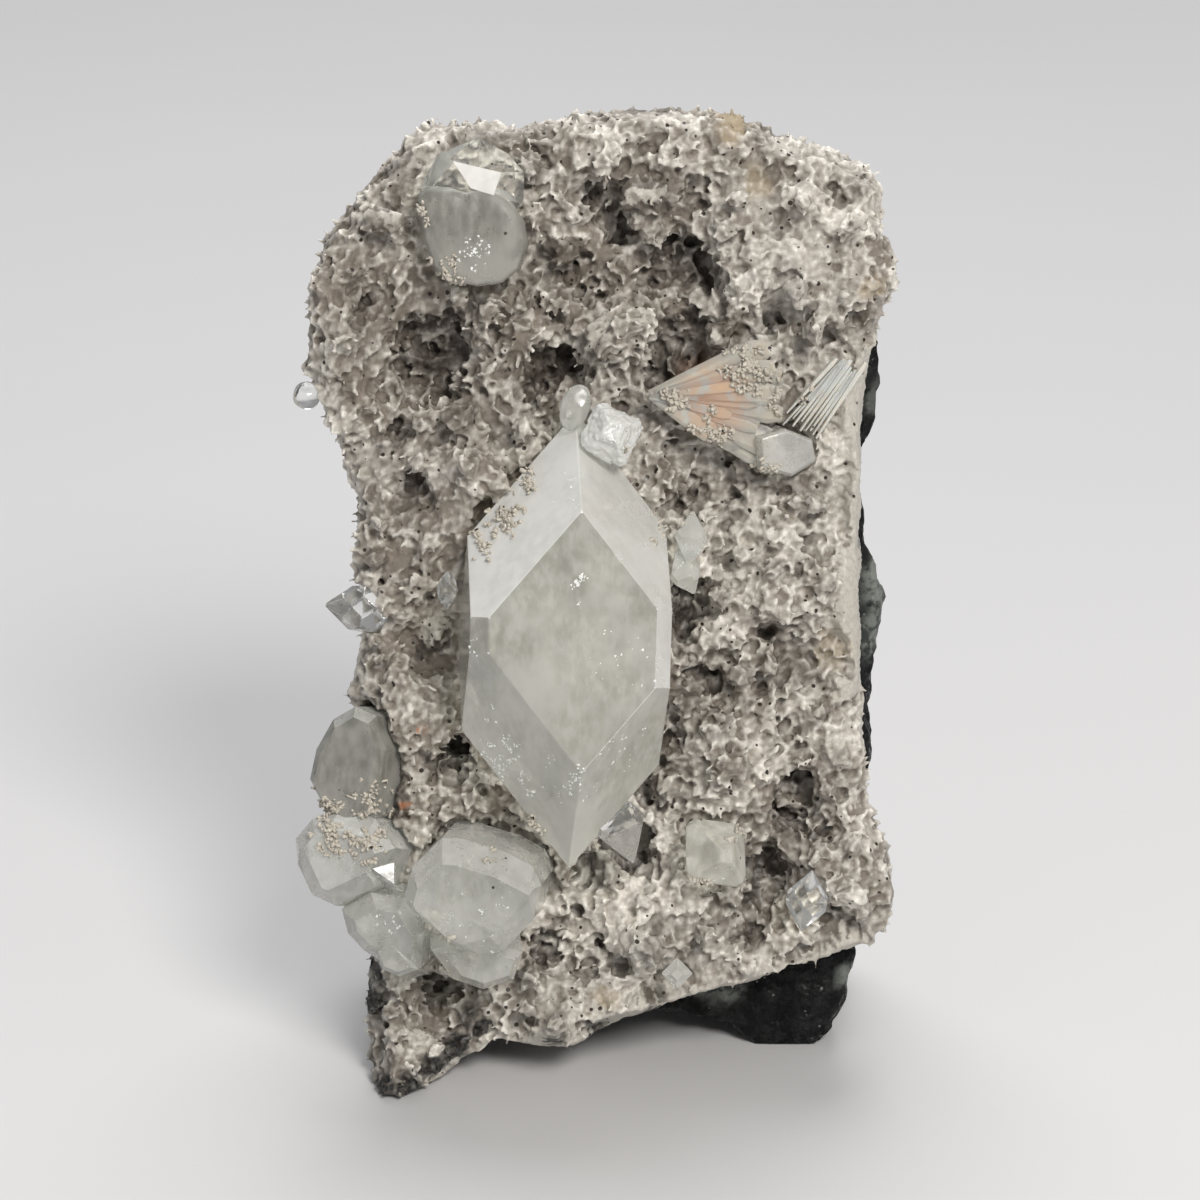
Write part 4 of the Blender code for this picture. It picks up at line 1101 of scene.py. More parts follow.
def crystal_tree(pieces):
    """A search tree over the crystals, with an outside normal on each face."""
    points = []
    triangles = []
    meshes = [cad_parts[name].data for name in CRYSTAL_NODES]
    meshes += [piece.data for piece in pieces]
    for mesh in meshes:
        mesh.calc_loop_triangles()
        base = len(points)
        points.extend(Vector(vertex.co) for vertex in mesh.vertices)
        triangles.extend([base + index for index in t.vertices] for t in mesh.loop_triangles)
    return BVHTree.FromPolygons(points, triangles)


def clear_of(tree, point, margin):
    """True where a point is outside every crystal by the margin."""
    place, normal, _, distance = tree.find_nearest(point)
    if distance <= margin:
        return False
    if (point - place).dot(normal) > 0.0:
        return True
    touching = tree.find_nearest_range(point, distance * 1.001)
    return any((point - spot).dot(out) > 0.0 for spot, out, _, _ in touching)


def blade_is_clear(tree, root, tip):
    """True where a blade's root and its tip keep their distance from the crystals."""
    return clear_of(tree, root, CRYSTAL_CLEARANCE * MM) and clear_of(tree, tip, TIP_CLEARANCE * MM)


def sample_surface(mesh, weights, count, rng):
    """Random places on the mesh: points, normals and the vertex nearest each."""
    mesh.calc_loop_triangles()
    corners = np.empty(len(mesh.loop_triangles) * 3, dtype=np.int64)
    mesh.loop_triangles.foreach_get("vertices", corners)
    corners = corners.reshape(-1, 3)
    points = points_of(mesh)
    a, b, c = (points[corners[:, k]] for k in range(3))
    cross = np.cross(b - a, c - a)
    area = np.linalg.norm(cross, axis=1)
    odds = area * weights[corners].mean(axis=1)
    chosen = rng.choice(len(corners), size=count, p=odds / odds.sum())
    u = rng.random(count)
    v = rng.random(count)
    flip = u + v > 1
    u[flip] = 1 - u[flip]
    v[flip] = 1 - v[flip]
    spots = a[chosen] + (b - a)[chosen] * u[:, None] + (c - a)[chosen] * v[:, None]
    facing = cross[chosen] / area[chosen][:, None]
    return spots, facing, corners[chosen, 0]


def unit(vectors):
    return vectors / np.linalg.norm(vectors, axis=1)[:, None]


def seen_places(tree, patches, crowding, rng):
    """Random places in the patches, found by looking along Y from the front.

    Each is a point and a normal, or None where nothing is hit, and its share of the patch's radius.
    Crowding is 0.5 for an even spread, and more for a denser middle."""
    for x, z, radius, count in patches.values():
        for _ in range(count):
            turn = rng.uniform(0, 2 * math.pi)
            away = radius * rng.uniform() ** crowding
            start = drawn(x + away * math.cos(turn), IN_FRONT, z + away * math.sin(turn))
            place, normal, _, _ = tree.ray_cast(start, Vector((0, 1, 0)))
            yield place, normal, away / radius


def blade_sizes(count, vigour, rng):
    """Width and thickness of each blade, none too thin for the skin's grid."""
    width = rng.uniform(*BLADE_WIDTH, count) * vigour
    thinnest = SKIN_GRID * BLADE_THINNEST
    return width, np.maximum(width * rng.uniform(*BLADE_THICKNESS, count), thinnest)


def blade_mesh(name, spots, direction, length, width, thickness, rng):
    """Many blades in one mesh, each with its root at a spot and its tip along a direction."""
    points, faces = blade_template()
    across = unit(np.cross(direction, rng.normal(size=direction.shape)))
    frames = (across, np.cross(direction, across), direction)
    size = np.stack([width, thickness, length], axis=1)
    local = points[None, :, :] * size[:, None, :]
    world = sum(local[:, :, k:k + 1] * frames[k][:, None, :] for k in range(3)) * MM
    world += spots[:, None, :]
    stack = faces[None, :, :] + (np.arange(len(size)) * len(points))[:, None, None]
    return mesh_from_arrays(name, world.reshape(-1, 3), stack.reshape(-1, 3))


def make_blades(crust, facts, tree):
    """Small bladed crystals all over the crust, clear of the large ones."""
    rng = np.random.default_rng(4)
    weights = facts["opened"] ** 2 + BLADES_ON_BREAKS
    spots, facing, nearest = sample_surface(crust.data, weights, int(BLADES * BLADES_TRIED), rng)
    count = len(spots)
    fan = unit(facts["fan"][nearest] + 1e-6)
    direction = unit(facing + fan * BLADE_FAN + rng.normal(size=(count, 3)) * BLADE_STRAY)
    outward = (direction * facing).sum(axis=1)
    direction = unit(direction + facing * np.clip(BLADE_OUT - outward, 0, None)[:, None])
    x, _, z = on_drawing(spots)
    vigour = blade_vigour(x, z)
    length = rng.uniform(*BLADE_LENGTH, count) * vigour
    tips = spots + direction * length[:, None] * MM
    margin = BOX_CLEARANCE * MM
    fits = ((tips > CAD_LOW + margin) & (tips < CAD_HIGH - margin)).all(axis=1)
    kept = [index for index in np.flatnonzero(fits)
            if blade_is_clear(tree, Vector(spots[index]), Vector(tips[index]))]
    kept = np.array(kept[:BLADES])
    width, thickness = blade_sizes(len(kept), np.sqrt(vigour[kept]), rng)
    return blade_mesh("blades", spots[kept], direction[kept], length[kept], width, thickness, rng)


def more_blades(crust_tree, tree):
    """Blades for the bare places, set on what shows from the front."""
    rng = np.random.default_rng(12)
    spots = []
    directions = []
    for place, normal, _ in seen_places(crust_tree, BARE_PLACES, 0.5, rng):
        stray = Vector(rng.normal(size=3)) * BLADE_STRAY
        if not place:
            continue
        out = normal if normal.y < 0 else -normal
        direction = (out + BARE_PULL + stray * BARE_STRAY).normalized()
        if blade_is_clear(tree, place, place + direction * BLADE_LENGTH[1] * MM):
            spots.append(place)
            directions.append(direction)
    length = rng.uniform(*BLADE_LENGTH, len(spots))
    width, thickness = blade_sizes(len(spots), 1.0, rng)
    spots, directions = np.array(spots), np.array(directions)
    return blade_mesh("more_blades", spots, directions, length, width, thickness, rng)


def make_crumbs(tree):
    """Loose crumbs of druse on the crystals, in small islands."""
    rng = np.random.default_rng(6)
    found = [(place, normal) for place, normal, share in seen_places(tree, CRUMB_PATCHES, 0.7, rng)
             if place and noise.noise(place / MM / CRUMB_ISLAND) > 0.5 * (share - CRUMB_CROWDED)]
    spots, facing = (np.array(rows) for rows in zip(*found))
    count = len(spots)
    loose = unit(facing + rng.normal(size=facing.shape) * CRUMB_STRAY)
    length = rng.uniform(*CRUMB_LENGTH, count)
    width = rng.uniform(*CRUMB_WIDTH, count)
    mesh = blade_mesh("druse_crumbs", spots, loose, length, width, width * CRUMB_FLATNESS, rng)
    write_values(mesh, "tone", np.repeat(rng.uniform(*CRUMB_TONE, count), len(blade_template()[0])))
    # the crumbs get no painted shade of hollows and no rust, peach or rock stain
    for name in ("hollow_shade", "rust", "peach", "rock"):
        write_values(mesh, name, np.zeros(len(mesh.vertices)))
    write_values(mesh, "tan", np.full(len(mesh.vertices), CRUMB_TAN))
    smooth(mesh)
    return add_object("druse_crumbs", mesh)


def grown_together(*parts):
    """Crust and blades as one skin on a fine grid."""
    bm = bmesh.new()
    for part in parts:
        bm.from_mesh(part)
    made = from_bmesh("grown", bm, True)
    grown = on_even_grid(made, SKIN_GRID)
    bpy.data.objects.remove(made)
    return grown


def leafy_grains(place):
    return LEAF_REACH - noise.voronoi(place / LEAF_SIZE)[0][0]


def ridges(mesh):
    """How far each point stands out from its neighbours, 0 in a groove to 1 on a crest."""
    points = points_of(mesh)
    pairs = np.empty(len(mesh.edges) * 2, dtype=np.int32)
    mesh.edges.foreach_get("vertices", pairs)
    ends = pairs.reshape(-1, 2)
    here = np.concatenate([ends[:, 0], ends[:, 1]])
    there = np.concatenate([ends[:, 1], ends[:, 0]])
    share = 1.0 / np.maximum(np.bincount(here, minlength=len(points)), 1)

    def around(rows):
        return np.bincount(here, weights=rows[there], minlength=len(points)) * share

    middle = np.stack([around(points[:, k]) for k in range(3)], axis=1)
    out = ((points - middle) * normals_of(mesh)).sum(axis=1) / (SKIN_GRID * MM)
    out = 0.5 * out + 0.5 * around(out)
    return np.clip(0.5 + out * RIDGE_STEEPNESS, 0.0, 1.0)


def slice_between(mesh, low, high, name):
    """The part of a closed mesh between two heights on the drawing, closed again."""
    bm = bmesh.new()
    bm.from_mesh(mesh)
    for height, up in ((low, -1.0), (high, 1.0)):
        if height is None:
            continue
        cut = bmesh.ops.bisect_plane(
            bm, geom=bm.verts[:] + bm.edges[:] + bm.faces[:], plane_co=drawn(0, 0, height),
            plane_no=(0, 0, up), clear_outer=True,
        )
        rim = [part for part in cut["geom_cut"] if isinstance(part, bmesh.types.BMEdge)]
        bmesh.ops.triangle_fill(bm, use_beauty=True, edges=rim)
        for edge in rim:
            if edge.is_valid:
                edge.smooth = False
    return from_bmesh(name, bm, True)


def keep_tones(mesh, facts, base_tree, base_faces):
    """Write the crust's tones on a piece of the skin, with painted light on tips and crests and
    painted shade near the roots and in grooves.
    """
    points = points_of(mesh)
    under = np.empty(len(points), dtype=int)
    lift = np.empty(len(points))
    fleck = np.empty(len(points))
    for index, point in enumerate(points):
        _, _, face, away = base_tree.find_nearest(Vector(point))
        under[index] = base_faces[face][0]
        lift[index] = away
        fleck[index] = noise.noise(Vector(point) / MM / FLECK_SIZE)
    lift = np.clip(lift / (LIFT_FULL * MM), 0.0, 1.0)
    ridge = np.empty(len(points), dtype=np.float32)
    mesh.attributes["ridge"].data.foreach_get("value", ridge)
    values = {name: facts[name][under] for name in ("tone", "hollow_shade", "broken", *STAINS)}
    # painted light and shade: tone rises with height above the crust's base and on crests, falls
    # near the roots and in grooves, and the painted shade of hollows clears with height
    values["tone"] = (values["tone"] + LIFT_LIGHT_SHARE * (lift - 0.5) * facts["opened"][under]
                      + FLECK_SHARE * fleck + RIDGE_LIGHT_SHARE * (ridge - 0.5))
    values["hollow_shade"] = values["hollow_shade"] * (1.0 - LIFT_CLEARS_SHADE * lift)
    for name, rows in values.items():
        write_values(mesh, name, np.clip(rows, 0.0, 1.0))


def make_skin(crust, facts, tree):
    """The druse as closed pieces one above the other."""
    base_tree, base_faces = surface_tree(crust.data)
    grown = grown_together(crust.data, make_blades(crust, facts, tree),
                           more_blades(base_tree, tree))
    worn(grown, SKIN_WEAR)
    raise_skin(grown, LEAF_RISE, leafy_grains)
    # kept for the tones, where crests get painted light and grooves painted shade
    write_values(grown, "ridge", ridges(grown))
    heights = (None, *SKIN_CUTS, None)
    made = []
    for level, (low, high) in enumerate(zip(heights, heights[1:])):
        piece = slice_between(grown, low, high, f"druse_{level}")
        keep_in_box(piece.data)
        keep_tones(piece.data, facts, base_tree, base_faces)
        made.append(piece)
    bpy.data.objects.remove(crust)
    return made


def make_glints(tree):
    """Tiny flat flakes in the skin of the crystals, in small islands: painted glints of healed
    cracks.
    """
    rng = np.random.default_rng(9)
    points = []
    faces = []
    for place, normal, _ in seen_places(tree, GLINT_PATCHES, 0.8, rng):
        size = rng.uniform(*GLINT_SIZE) * MM
        tilt = Vector(rng.normal(size=3) * GLINT_TILT)
        if not place or noise.noise(place / MM / GLINT_ISLAND) < GLINT_BARE:
            continue
        turned = (normal + tilt).to_track_quat("Z", "X").to_matrix()
        spun = turned @ Matrix.Rotation(rng.uniform(0, 6.3), 3, "Z")
        middle = place + normal * GLINT_RISE * MM
        base = len(points)
        points += [middle + spun @ (corner * size) for corner in GLINT_CORNERS]
        faces += [[base + k for k in face] for face in GLINT_FACES]
    mesh = mesh_from_arrays("painted_crack_glints", np.array(points), np.array(faces))
    smooth(mesh, False)
    return add_object("painted_crack_glints", mesh)


# Basalt

def make_basalt():
    """The rock on a fine grid, with broken planes, small bubbles and grain."""
    rock = fine_copy("basalt_body", "basalt_matrix", BASALT_GRID)
    mesh = rock.data
    worn(mesh, BASALT_WEAR)
    points = points_of(mesh)
    normals = normals_of(mesh)
    shifts = np.empty(len(points))
    wobble = np.empty(len(points))
    for index, point in enumerate(points):
        place = Vector(point) / MM
        chips = noise.voronoi(place / CHIP_SIZE)[0]
        grit = noise.noise(place / GRIT_SIZE)
        lump = noise.noise(place / ROCK_LUMP_SIZE)
        bubble = noise.voronoi((place + BUBBLE_PLACE) / BUBBLE_SPACING)[0][0]
        pit = max(0.0, BUBBLE_RADIUS - bubble) * BUBBLE_DEPTH
        shifts[index] = (CHIP_RISE * (chips[1] - chips[0]) + ROCK_LUMP_RISE * lump
                         + GRIT_RISE * grit - pit - BASALT_SINK)
        wobble[index] = lump + RIND_BORDER * grit
    on_floor = points[:, 2] < SOLE_HEIGHT * MM
    shifts[on_floor & (normals[:, 2] < SOLE_FACING)] = 0.0
    put_points(mesh, points + normals * shifts[:, None] * MM)
    keep_in_box(mesh)
    x, _, z = on_drawing(points)
    write_values(mesh, "rind", near_spots(x, z, RIND_PATCHES, wobble))
    smooth(mesh)
    return rock


# Crystals

def faceted(name, node, edge):
    """The node's crystal with its flat faces joined up and its edges lightly worn."""
    bm = bmesh.new()
    bm.from_mesh(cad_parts[node].data)
    bmesh.ops.remove_doubles(bm, verts=bm.verts, dist=1e-6)
    bmesh.ops.dissolve_limit(bm, angle_limit=math.radians(FLAT_ANGLE), verts=bm.verts,
                             edges=bm.edges)
    bmesh.ops.bevel(bm, geom=bm.edges[:] + bm.verts[:], offset=edge * MM, segments=2, profile=0.6,
                    affect="EDGES", clamp_overlap=True)
    return from_bmesh(name, bm, False)


def inner_veil(name, node, share, push, seed):
    """A cloudy shell inside a crystal: its shape drawn in, with an uneven surface."""
    bm = bmesh.new()
    bm.from_mesh(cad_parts[node].data)
    bmesh.ops.subdivide_edges(bm, edges=bm.edges[:], cuts=5, use_grid_fill=True)
    middle = sum((vertex.co for vertex in bm.verts), Vector()) / len(bm.verts)
    for vertex in bm.verts:
        arm = vertex.co - middle
        uneven = noise.noise(vertex.co / MM / VEIL_WAVE_SIZE + Vector((seed, 0, 0)))
        vertex.co = middle + arm * share * (1.0 + VEIL_WAVE * uneven) + Vector((0, push * MM, 0))
    return from_bmesh(name, bm, True)


def soft_waves(place):
    return noise.noise(place / WAVE_SIZE)


def sugar_grains(place):
    return (SUGAR_REACH - noise.voronoi(place / SUGAR_SIZE)[0][0]
            + 0.5 * noise.noise(place / SUGAR_DUST_SIZE))


def rounded(name, node, grid, rounds, rise, relief):
    """A crystal with its form kept, its edges worn round and its skin uneven."""
    made = fine_copy(name, node, grid)
    worn(made.data, rounds)
    raise_skin(made.data, rise, relief)
    smooth(made.data)
    return made


def front_frame(x, z, rise):
    """The frame of a place on the leaning front: X along it, Y out of it, Z up along it."""
    lean = math.atan(FRONT_LEAN)
    along = Vector((1, 0, 0))
    out = Vector((0, -math.cos(lean), math.sin(lean)))
    up = Vector((0, math.sin(lean), math.cos(lean)))
    place = Matrix((along, out, up)).transposed().to_4x4()
    place.translation = on_front(x, z, rise) / MM
    return place


def frosted_disc():
    """The rounded crystal at the top left, a flat-faced disc with a crisp upper edge."""
    bm = bmesh.new()
    rows = []
    for share, rise in DISC_RINGS:
        rows.append([bm.verts.new((x * share, rise, z * share)) for x, z in DISC_OUTLINE])
    for front, back in zip(rows, rows[1:]):
        for corners in zip(front, front[1:] + front[:1], back[1:] + back[:1], back):
            bm.faces.new(corners)
    bm.faces.new(rows[0][::-1])
    bm.faces.new(rows[-1])
    place = front_frame(*DISC_CENTRE)
    for vertex in bm.verts:
        vertex.co = (place @ vertex.co) * MM
    bmesh.ops.recalc_face_normals(bm, faces=bm.faces)
    bmesh.ops.triangulate(bm, faces=bm.faces)
    bmesh.ops.subdivide_edges(bm, edges=bm.edges, cuts=2, use_grid_fill=True)
    for vertex in bm.verts:
        vertex.co += vertex.normal * noise.noise(vertex.co / MM / DISC_WAVE_SIZE) * DISC_WAVE * MM
    return from_bmesh("top_left_crystal", bm, True)


def hull(name, corners):
    """A flat-faced crystal through corners given as X, Z on the drawing and rise from the front."""
    bm = bmesh.new()
    for x, z, rise in corners:
        bm.verts.new(on_front(x, z, rise))
    made = bmesh.ops.convex_hull(bm, input=bm.verts)
    spare = [part for part in made["geom_interior"] if isinstance(part, bmesh.types.BMVert)]
    bmesh.ops.delete(bm, geom=spare, context="VERTS")
    bmesh.ops.recalc_face_normals(bm, faces=bm.faces)
    return from_bmesh(name, bm, False)


def lath_row(name, laths):
    """Flat laths on the front; each is X, Z, rise, angle, tilt out, length, width, thickness."""
    points = []
    faces = []
    for x, z, rise, angle, tilt, length, width, thick in laths:
        place = front_frame(x, z, rise) @ Matrix.Rotation(-math.radians(angle), 4, "Y")
        place = place @ Matrix.Rotation(math.radians(tilt), 4, "Z")
        base = len(points)
        for share, wide in LATH_STATIONS:
            half = width * wide / 2
            deep = thick * (0.5 + 0.5 * wide) / 2
            for side, out in LATH_SECTION:
                points.append((place @ Vector((share * length, out * deep, side * half))) * MM)
        faces += tube_faces(len(LATH_STATIONS), len(LATH_SECTION), base)
    mesh = mesh_from_arrays(name, np.array(points), np.array(faces))
    bm = bmesh.new()
    bm.from_mesh(mesh)
    bmesh.ops.recalc_face_normals(bm, faces=bm.faces)
    bm.to_mesh(mesh)
    bm.free()
    smooth(mesh, False)
    return add_object(name, mesh)


def stilbite_fan(name, share_shown=1.0):
    """Thin blades that spread from one root, in three overlapping layers."""
    rng = random.Random(11)
    laths = []
    first, last = FAN_ANGLES
    for k in range(FAN_BLADES):
        angle = first + k / (FAN_BLADES - 1) * (last - first) + rng.uniform(*FAN_STRAY)
        rise = FAN_RISE + FAN_LAYER * (k % 3) - FAN_LAYER + rng.uniform(*FAN_UNEVEN)
        length = rng.uniform(*FAN_LENGTH) * share_shown
        tilt = rng.uniform(*FAN_TILT)
        laths.append((*FAN_ROOT, rise, angle, tilt, length, rng.uniform(*FAN_WIDTH), FAN_THICKNESS))
    return lath_row(name, laths)


def stilbite_laths():
    """A bundle of narrow straight laths side by side."""
    rng = random.Random(23)
    laths = []
    angle = math.radians(LATHS_ANGLE)
    for k in range(LATHS):
        across = (k - (LATHS - 1) / 2) * LATHS_PITCH
        length = rng.uniform(*LATHS_LENGTH)
        start = -length / 2 + rng.uniform(*LATHS_SLIP)
        x = LATHS_CENTRE[0] + start * math.cos(angle) - across * math.sin(angle)
        z = LATHS_CENTRE[1] + start * math.sin(angle) + across * math.cos(angle)
        rise = LATHS_RISE + rng.uniform(*LATHS_UNEVEN)
        turn = LATHS_ANGLE - LATHS_CLOSE * across + rng.uniform(*LATHS_STRAY)
        laths.append((x, z, rise, turn, 0.0, length, rng.uniform(*LATHS_WIDTH), LATHS_THICKNESS))
    return lath_row("stilbite_laths", laths)


def paint_faces(piece, material, wanted):
    """Another finish on the faces picked by wanted(face)."""
    piece.data.materials.append(material)
    number = len(piece.data.materials) - 1
    for face in piece.data.polygons:
        if wanted(face):
            face.material_index = number


def paint_edges(piece, material, width):
    """Another finish on the narrow faces along the worn edges."""
    def narrow(face):
        corners = [piece.data.vertices[index].co for index in face.vertices]
        longest = max((a - b).length for a in corners for b in corners)
        return face.area / longest < width * MM

    paint_faces(piece, material, narrow)


def middle_of(face):
    """A face's middle on the drawing."""
    return face.center / MM - ORIGIN


def on_bright_side(face):
    """True on the main crystal's faces to the right."""
    return face.normal.x > BRIGHT_SIDE_LEAST_X and face.normal.z > BRIGHT_SIDE_LEAST_Z


def on_frosted_tablet(face):
    """True on the faces of the cluster's upper left tablet, apart from its top."""
    middle = middle_of(face)
    on_tablet = middle.x < FROSTED_TABLET_X and middle.z > FROSTED_TABLET_Z
    return on_tablet and face.normal.z < TOP_FACING


# Camera, lights and table

def aim(obj, place, target):
    obj.location = place
    obj.rotation_euler = (target - place).to_track_quat("-Z", "Y").to_euler()


def make_camera():
    data = bpy.data.cameras.new("camera")
    data.lens = CAMERA_LENS
    data.sensor_width = CAMERA_SENSOR
    data.clip_start = 0.01
    camera = bpy.data.objects.new("camera", data)
    bpy.context.scene.collection.objects.link(camera)
    target = drawn(0.0, 0.0, LEAN_PIVOT_Z)    # the object's middle
    tilt = math.radians(CAMERA_ELEVATION)
    arm = Vector((0.0, -math.cos(tilt), math.sin(tilt))) * CAMERA_DISTANCE
    aim(camera, target + arm, target)
    bpy.context.scene.camera = camera


def soft_light(name, place, size, power, tint):
    """A round soft light aimed at the object; sizes in metres, power in watts."""
    data = bpy.data.lights.new(name, "AREA")
    data.shape = "DISK"
    data.size = size
    data.energy = power
    data.color = tint
    lamp = bpy.data.objects.new(name, data)
    bpy.context.scene.collection.objects.link(lamp)
    aim(lamp, Vector(place), LIGHTS_AIM)


def make_floor():
    bm = bmesh.new()
    bmesh.ops.create_grid(bm, x_segments=2, y_segments=2, size=TABLE_SIZE)
    floor = from_bmesh("table_top", bm, False)
    material, tree, shader, _ = new_material("table_top")
    tone = use(tree, MOTTLE, {"Place": frame_place(tree), "Light": colour(0.68, 0.675, 0.68),
                              "Dark": colour(0.65, 0.645, 0.65), "Patch": 300.0, "Balance": 0.5,
                              "Softness": 0.3})
    plug(tree, shader, {"Base Color": tone.outputs["Colour"], "Roughness": 0.32})
    floor.data.materials.append(material)


def make_world():
    world = bpy.data.worlds.new("studio")
    world.use_nodes = True
    background = world.node_tree.nodes["Background"]
    plug(world.node_tree, background,
         {"Color": colour(0.97, 0.98, 1.0), "Strength": STUDIO_STRENGTH})
    bpy.context.scene.world = world


def make_scene():
    make_camera()
    make_world()
    make_floor()
    for name, (place, size, power, tint) in LIGHTS.items():
        soft_light(name, place, size, power, tint)
    bpy.context.scene.view_settings.view_transform = "Standard"
    bpy.context.scene.cycles.max_bounces = 9
    bpy.context.scene.cycles.diffuse_bounces = 3


# The pieces and their finishes

# Apophyllite finishes: tint and milk are the two colours, cover is the share that is frosted
CRYSTAL_LOOKS = {
    "green_apophyllite": dict(
        tint=colour(0.64, 0.63, 0.565), milk=colour(0.90, 0.89, 0.835), transmission=0.62,
        clear=0.06, frosted=0.24, cover=0.42, specks=0.03),
    "bright_side_face": dict(
        tint=colour(0.82, 0.815, 0.765), milk=colour(0.95, 0.945, 0.91), transmission=0.42,
        clear=0.08, frosted=0.30, cover=0.45, specks=0.03),
    "milky_face": dict(
        tint=colour(0.78, 0.78, 0.745), milk=colour(0.90, 0.895, 0.865), transmission=0.22,
        clear=0.28, frosted=0.50, cover=0.5, specks=0.04),
    "clear_face": dict(
        tint=colour(0.70, 0.69, 0.64), milk=colour(0.86, 0.85, 0.81), transmission=0.66,
        clear=0.04, frosted=0.20, cover=0.40, specks=0.03, streak=0.5),
    "white_apophyllite": dict(
        tint=colour(0.86, 0.86, 0.835), milk=colour(0.95, 0.95, 0.93), transmission=0.42,
        clear=0.06, frosted=0.28, cover=0.4, specks=0.14),
    "frosted_apophyllite": dict(
        tint=colour(0.25, 0.245, 0.215), milk=colour(0.47, 0.46, 0.42), transmission=0.40,
        clear=0.26, frosted=0.55, cover=0.55),
    "milky_apophyllite": dict(
        tint=colour(0.58, 0.58, 0.54), milk=colour(0.80, 0.80, 0.765), transmission=0.60,
        clear=0.08, frosted=0.34, cover=0.45, specks=0.10),
    "clear_apophyllite": dict(
        tint=colour(0.93, 0.94, 0.93), milk=colour(0.98, 0.98, 0.97), transmission=0.94,
        clear=0.02, frosted=0.12, cover=0.36),
    "pale_edge": dict(
        tint=colour(0.63, 0.625, 0.59), milk=colour(0.80, 0.795, 0.76), transmission=0.50,
        clear=0.20, frosted=0.45, cover=0.5, specks=0.06),
    # painted highlight: a whiter finish for the main crystal's worn edges
    "painted_edge_highlight": dict(
        tint=colour(0.92, 0.92, 0.89), milk=colour(0.96, 0.96, 0.94), transmission=0.2,
        clear=0.10, frosted=0.30, cover=0.4),
}

# Flat-faced crystals: piece, node that it stands for, width of its worn edges, slot, finish
FACETED_CRYSTALS = (
    ("main_crystal", "main_apophyllite", 0.12, "green_apophyllite", "green_apophyllite"),
    ("etched_crystal", "green_lump_crystal", 0.25, "green_apophyllite", "green_apophyllite"),
    ("grey_tablet", "grey_crystal", 0.1, "frosted_apophyllite", "pale_edge"),
    ("tablet_cluster", "lower_left_cluster", 0.12, "milky_apophyllite", "milky_apophyllite"),
    ("side_pair", "side_crystals", 0.1, "milky_apophyllite", "milky_apophyllite"),
    ("rim_crystal", "low_rim_crystal", 0.2, "milky_apophyllite", "milky_apophyllite"),
    ("clear_lower_crystal", "lower_centre_crystal", 0.08, "clear_apophyllite", "clear_apophyllite"),
    ("clear_pocket_crystal", "pocket_crystal", 0.08, "clear_apophyllite", "clear_apophyllite"),
    ("clear_edge_crystal", "left_edge_crystal", 0.08, "clear_apophyllite", "clear_apophyllite"),
    ("small_tipped_crystal", "doubly_tipped_crystal", 0.05, "clear_apophyllite",
     "clear_apophyllite"),
)

# Cloudy shells in the large crystal: share of its size, push to the back, seed
VEILS = {"outer_veil": (0.9, 0.3, 3.0), "inner_veil": (0.68, 0.8, 17.0)}


def dress_top_left(looks):
    """The frosted disc and its clear cap."""
    disc = frosted_disc()
    cap = hull("top_left_cap", CAP_CORNERS)
    own(disc, ["top_left_apophyllite"], "frosted_apophyllite", looks["frosted_apophyllite"])
    own(cap, [], "frosted_apophyllite", looks["clear_apophyllite"])
    paint_faces(cap, looks["milky_face"],
                lambda face: (middle_of(face) - CAP_WHITE).length < CAP_WHITE_RADIUS)
    return disc, cap


def dress_stilbite():
    """The peach fan and the pearly laths."""
    fan = stilbite_fan("stilbite_fan")
    laths = stilbite_laths()
    peach = stilbite_look("peach_stilbite", colour(0.73, 0.45, 0.30), colour(0.52, 0.47, 0.395),
                          root=(9.6, 59.4, 1.0), reach=(1.2, 4.4))
    pearl = stilbite_look("pearly_stilbite", colour(0.66, 0.635, 0.57), colour(0.66, 0.635, 0.57),
                          root=(19.0, 60.0, 1.0), reach=(0.0, 1.0))
    own(fan, ["stilbite_spray"], "stilbite", peach)
    own(laths, ["striated_blades"], "stilbite", pearl)
    return fan, laths


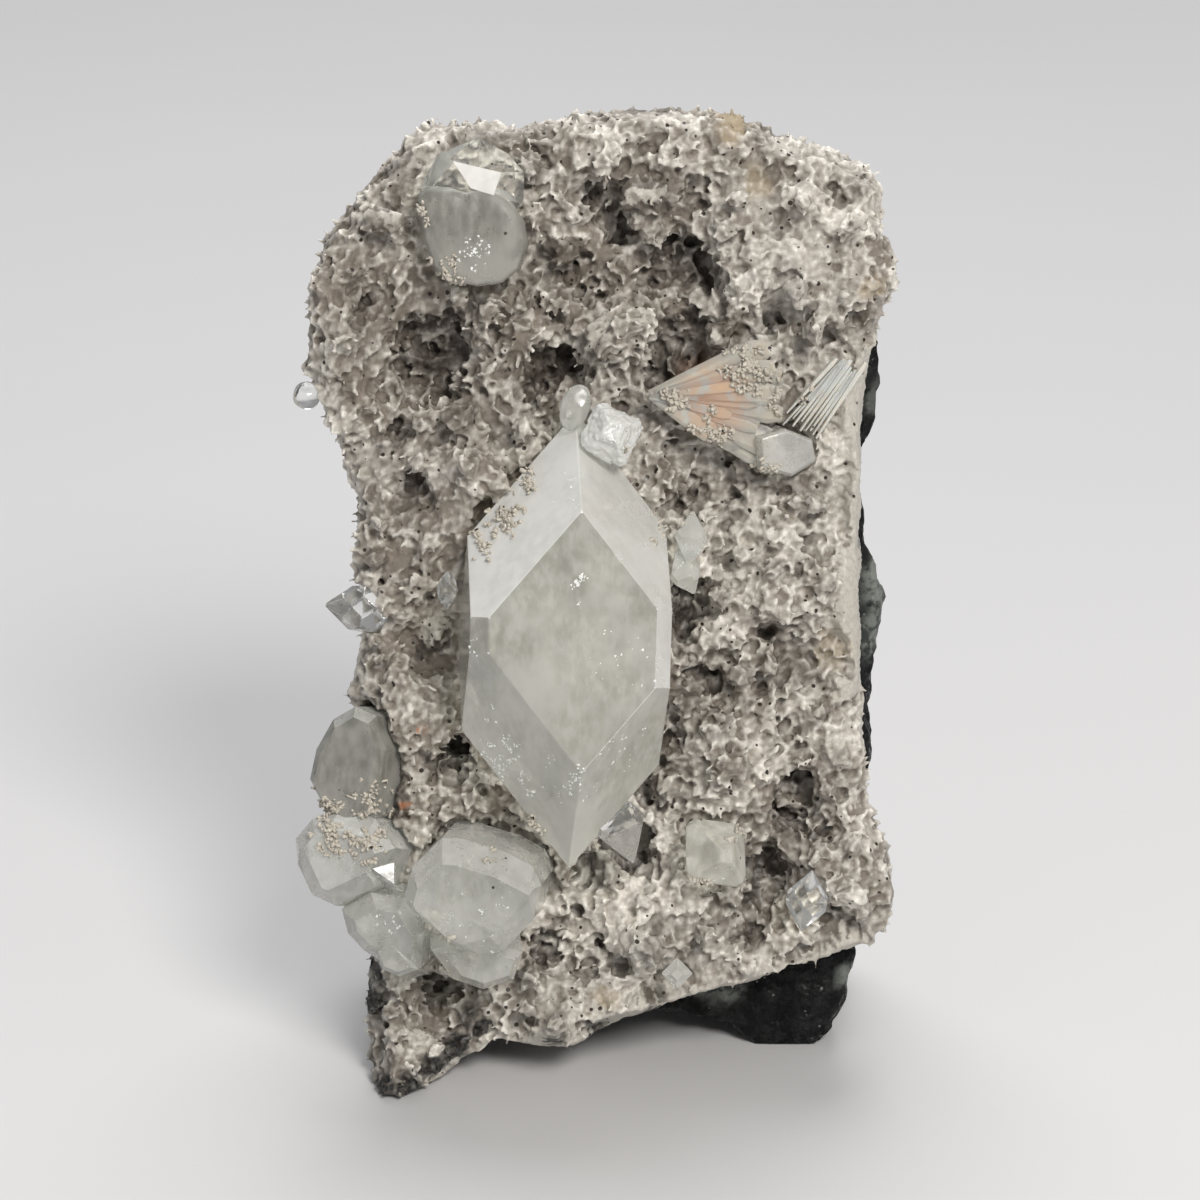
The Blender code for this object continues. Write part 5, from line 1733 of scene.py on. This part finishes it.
def dress_crust(disc, cap, fan, laths):
    """The druse, clear of the crystals, and what sits on them: crumbs and the painted glints of
    healed cracks.
    """
    # colours: pale, dark (also painted shade near the roots and in seams), deep (painted shade in
    # hollows), broken crust
    crust_look = druse_look("druse", colour(0.92, 0.88, 0.80), colour(0.24, 0.207, 0.17),
                            colour(0.032, 0.024, 0.018), colour(0.56, 0.53, 0.47))
    crumb_look = druse_look("druse_crumbs", colour(0.72, 0.685, 0.61), colour(0.42, 0.385, 0.33),
                            colour(0.075, 0.06, 0.045))
    crust, facts = make_crust()
    bare_fan = stilbite_fan("bare_part_of_the_fan", FAN_BARE)
    skin = make_skin(crust, facts, crystal_tree([disc, cap, bare_fan]))
    bpy.data.objects.remove(bare_fan)
    for level, piece in enumerate(skin):
        own(piece, [] if level else ["druse_crust"], "druse", crust_look)
    tree = crystal_tree([disc, cap, fan, laths])
    own(make_crumbs(tree), [], "druse", crumb_look)
    # painted glints on the crystals
    own(make_glints(tree), [], "green_apophyllite", glint_look())


def dress_crystals(looks):
    """The other crystals, with the main one's faces and edges finished one by one."""
    made = {}
    for name, node, edge, slot, look in FACETED_CRYSTALS:
        made[name] = own(faceted(name, node, edge), [node], slot, looks[look])
    crown = rounded("white_crown", "crown_crystal", CROWN_GRID, CROWN_WEAR, CROWN_RISE,
                    sugar_grains)
    own(crown, ["crown_crystal"], "milky_apophyllite", looks["white_apophyllite"])
    bead = rounded("clear_bead", "edge_bead", BEAD_GRID, BEAD_WEAR, BEAD_RISE, soft_waves)
    own(bead, ["edge_bead"], "clear_apophyllite", looks["clear_apophyllite"])
    leaf = rounded("leaf_crystal", "leaf_plate", BEAD_GRID, BEAD_WEAR, LEAF_PLATE_RISE, soft_waves)
    own(leaf, ["leaf_plate"], "clear_apophyllite", looks["milky_apophyllite"])
    main = made["main_crystal"]
    paint_faces(main, looks["milky_face"], lambda face: face.normal.dot(MILKY_SIDE) > SAME_SIDE)
    paint_faces(main, looks["clear_face"], lambda face: face.normal.dot(CLEAR_SIDE) > SAME_SIDE)
    paint_faces(main, looks["bright_side_face"], on_bright_side)
    # painted highlights: the worn edges take the whiter finish
    paint_edges(main, looks["painted_edge_highlight"], EDGE_WIDTH)
    cluster = made["tablet_cluster"]
    paint_faces(cluster, looks["pale_edge"], lambda face: face.normal.z > TOP_FACING)
    paint_faces(cluster, looks["frosted_apophyllite"], on_frosted_tablet)
    veil = veil_look()
    for name, (share, push, seed) in VEILS.items():
        own(inner_veil(name, "main_apophyllite", share, push, seed), [], "green_apophyllite", veil)


def dress():
    looks = {name: crystal_look(name, **values) for name, values in CRYSTAL_LOOKS.items()}
    disc, cap = dress_top_left(looks)
    fan, laths = dress_stilbite()
    dress_crust(disc, cap, fan, laths)
    own(make_basalt(), ["basalt_matrix"], "basalt", basalt_look())
    dress_crystals(looks)


make_scene()
dress()
bpy.context.view_layer.update()
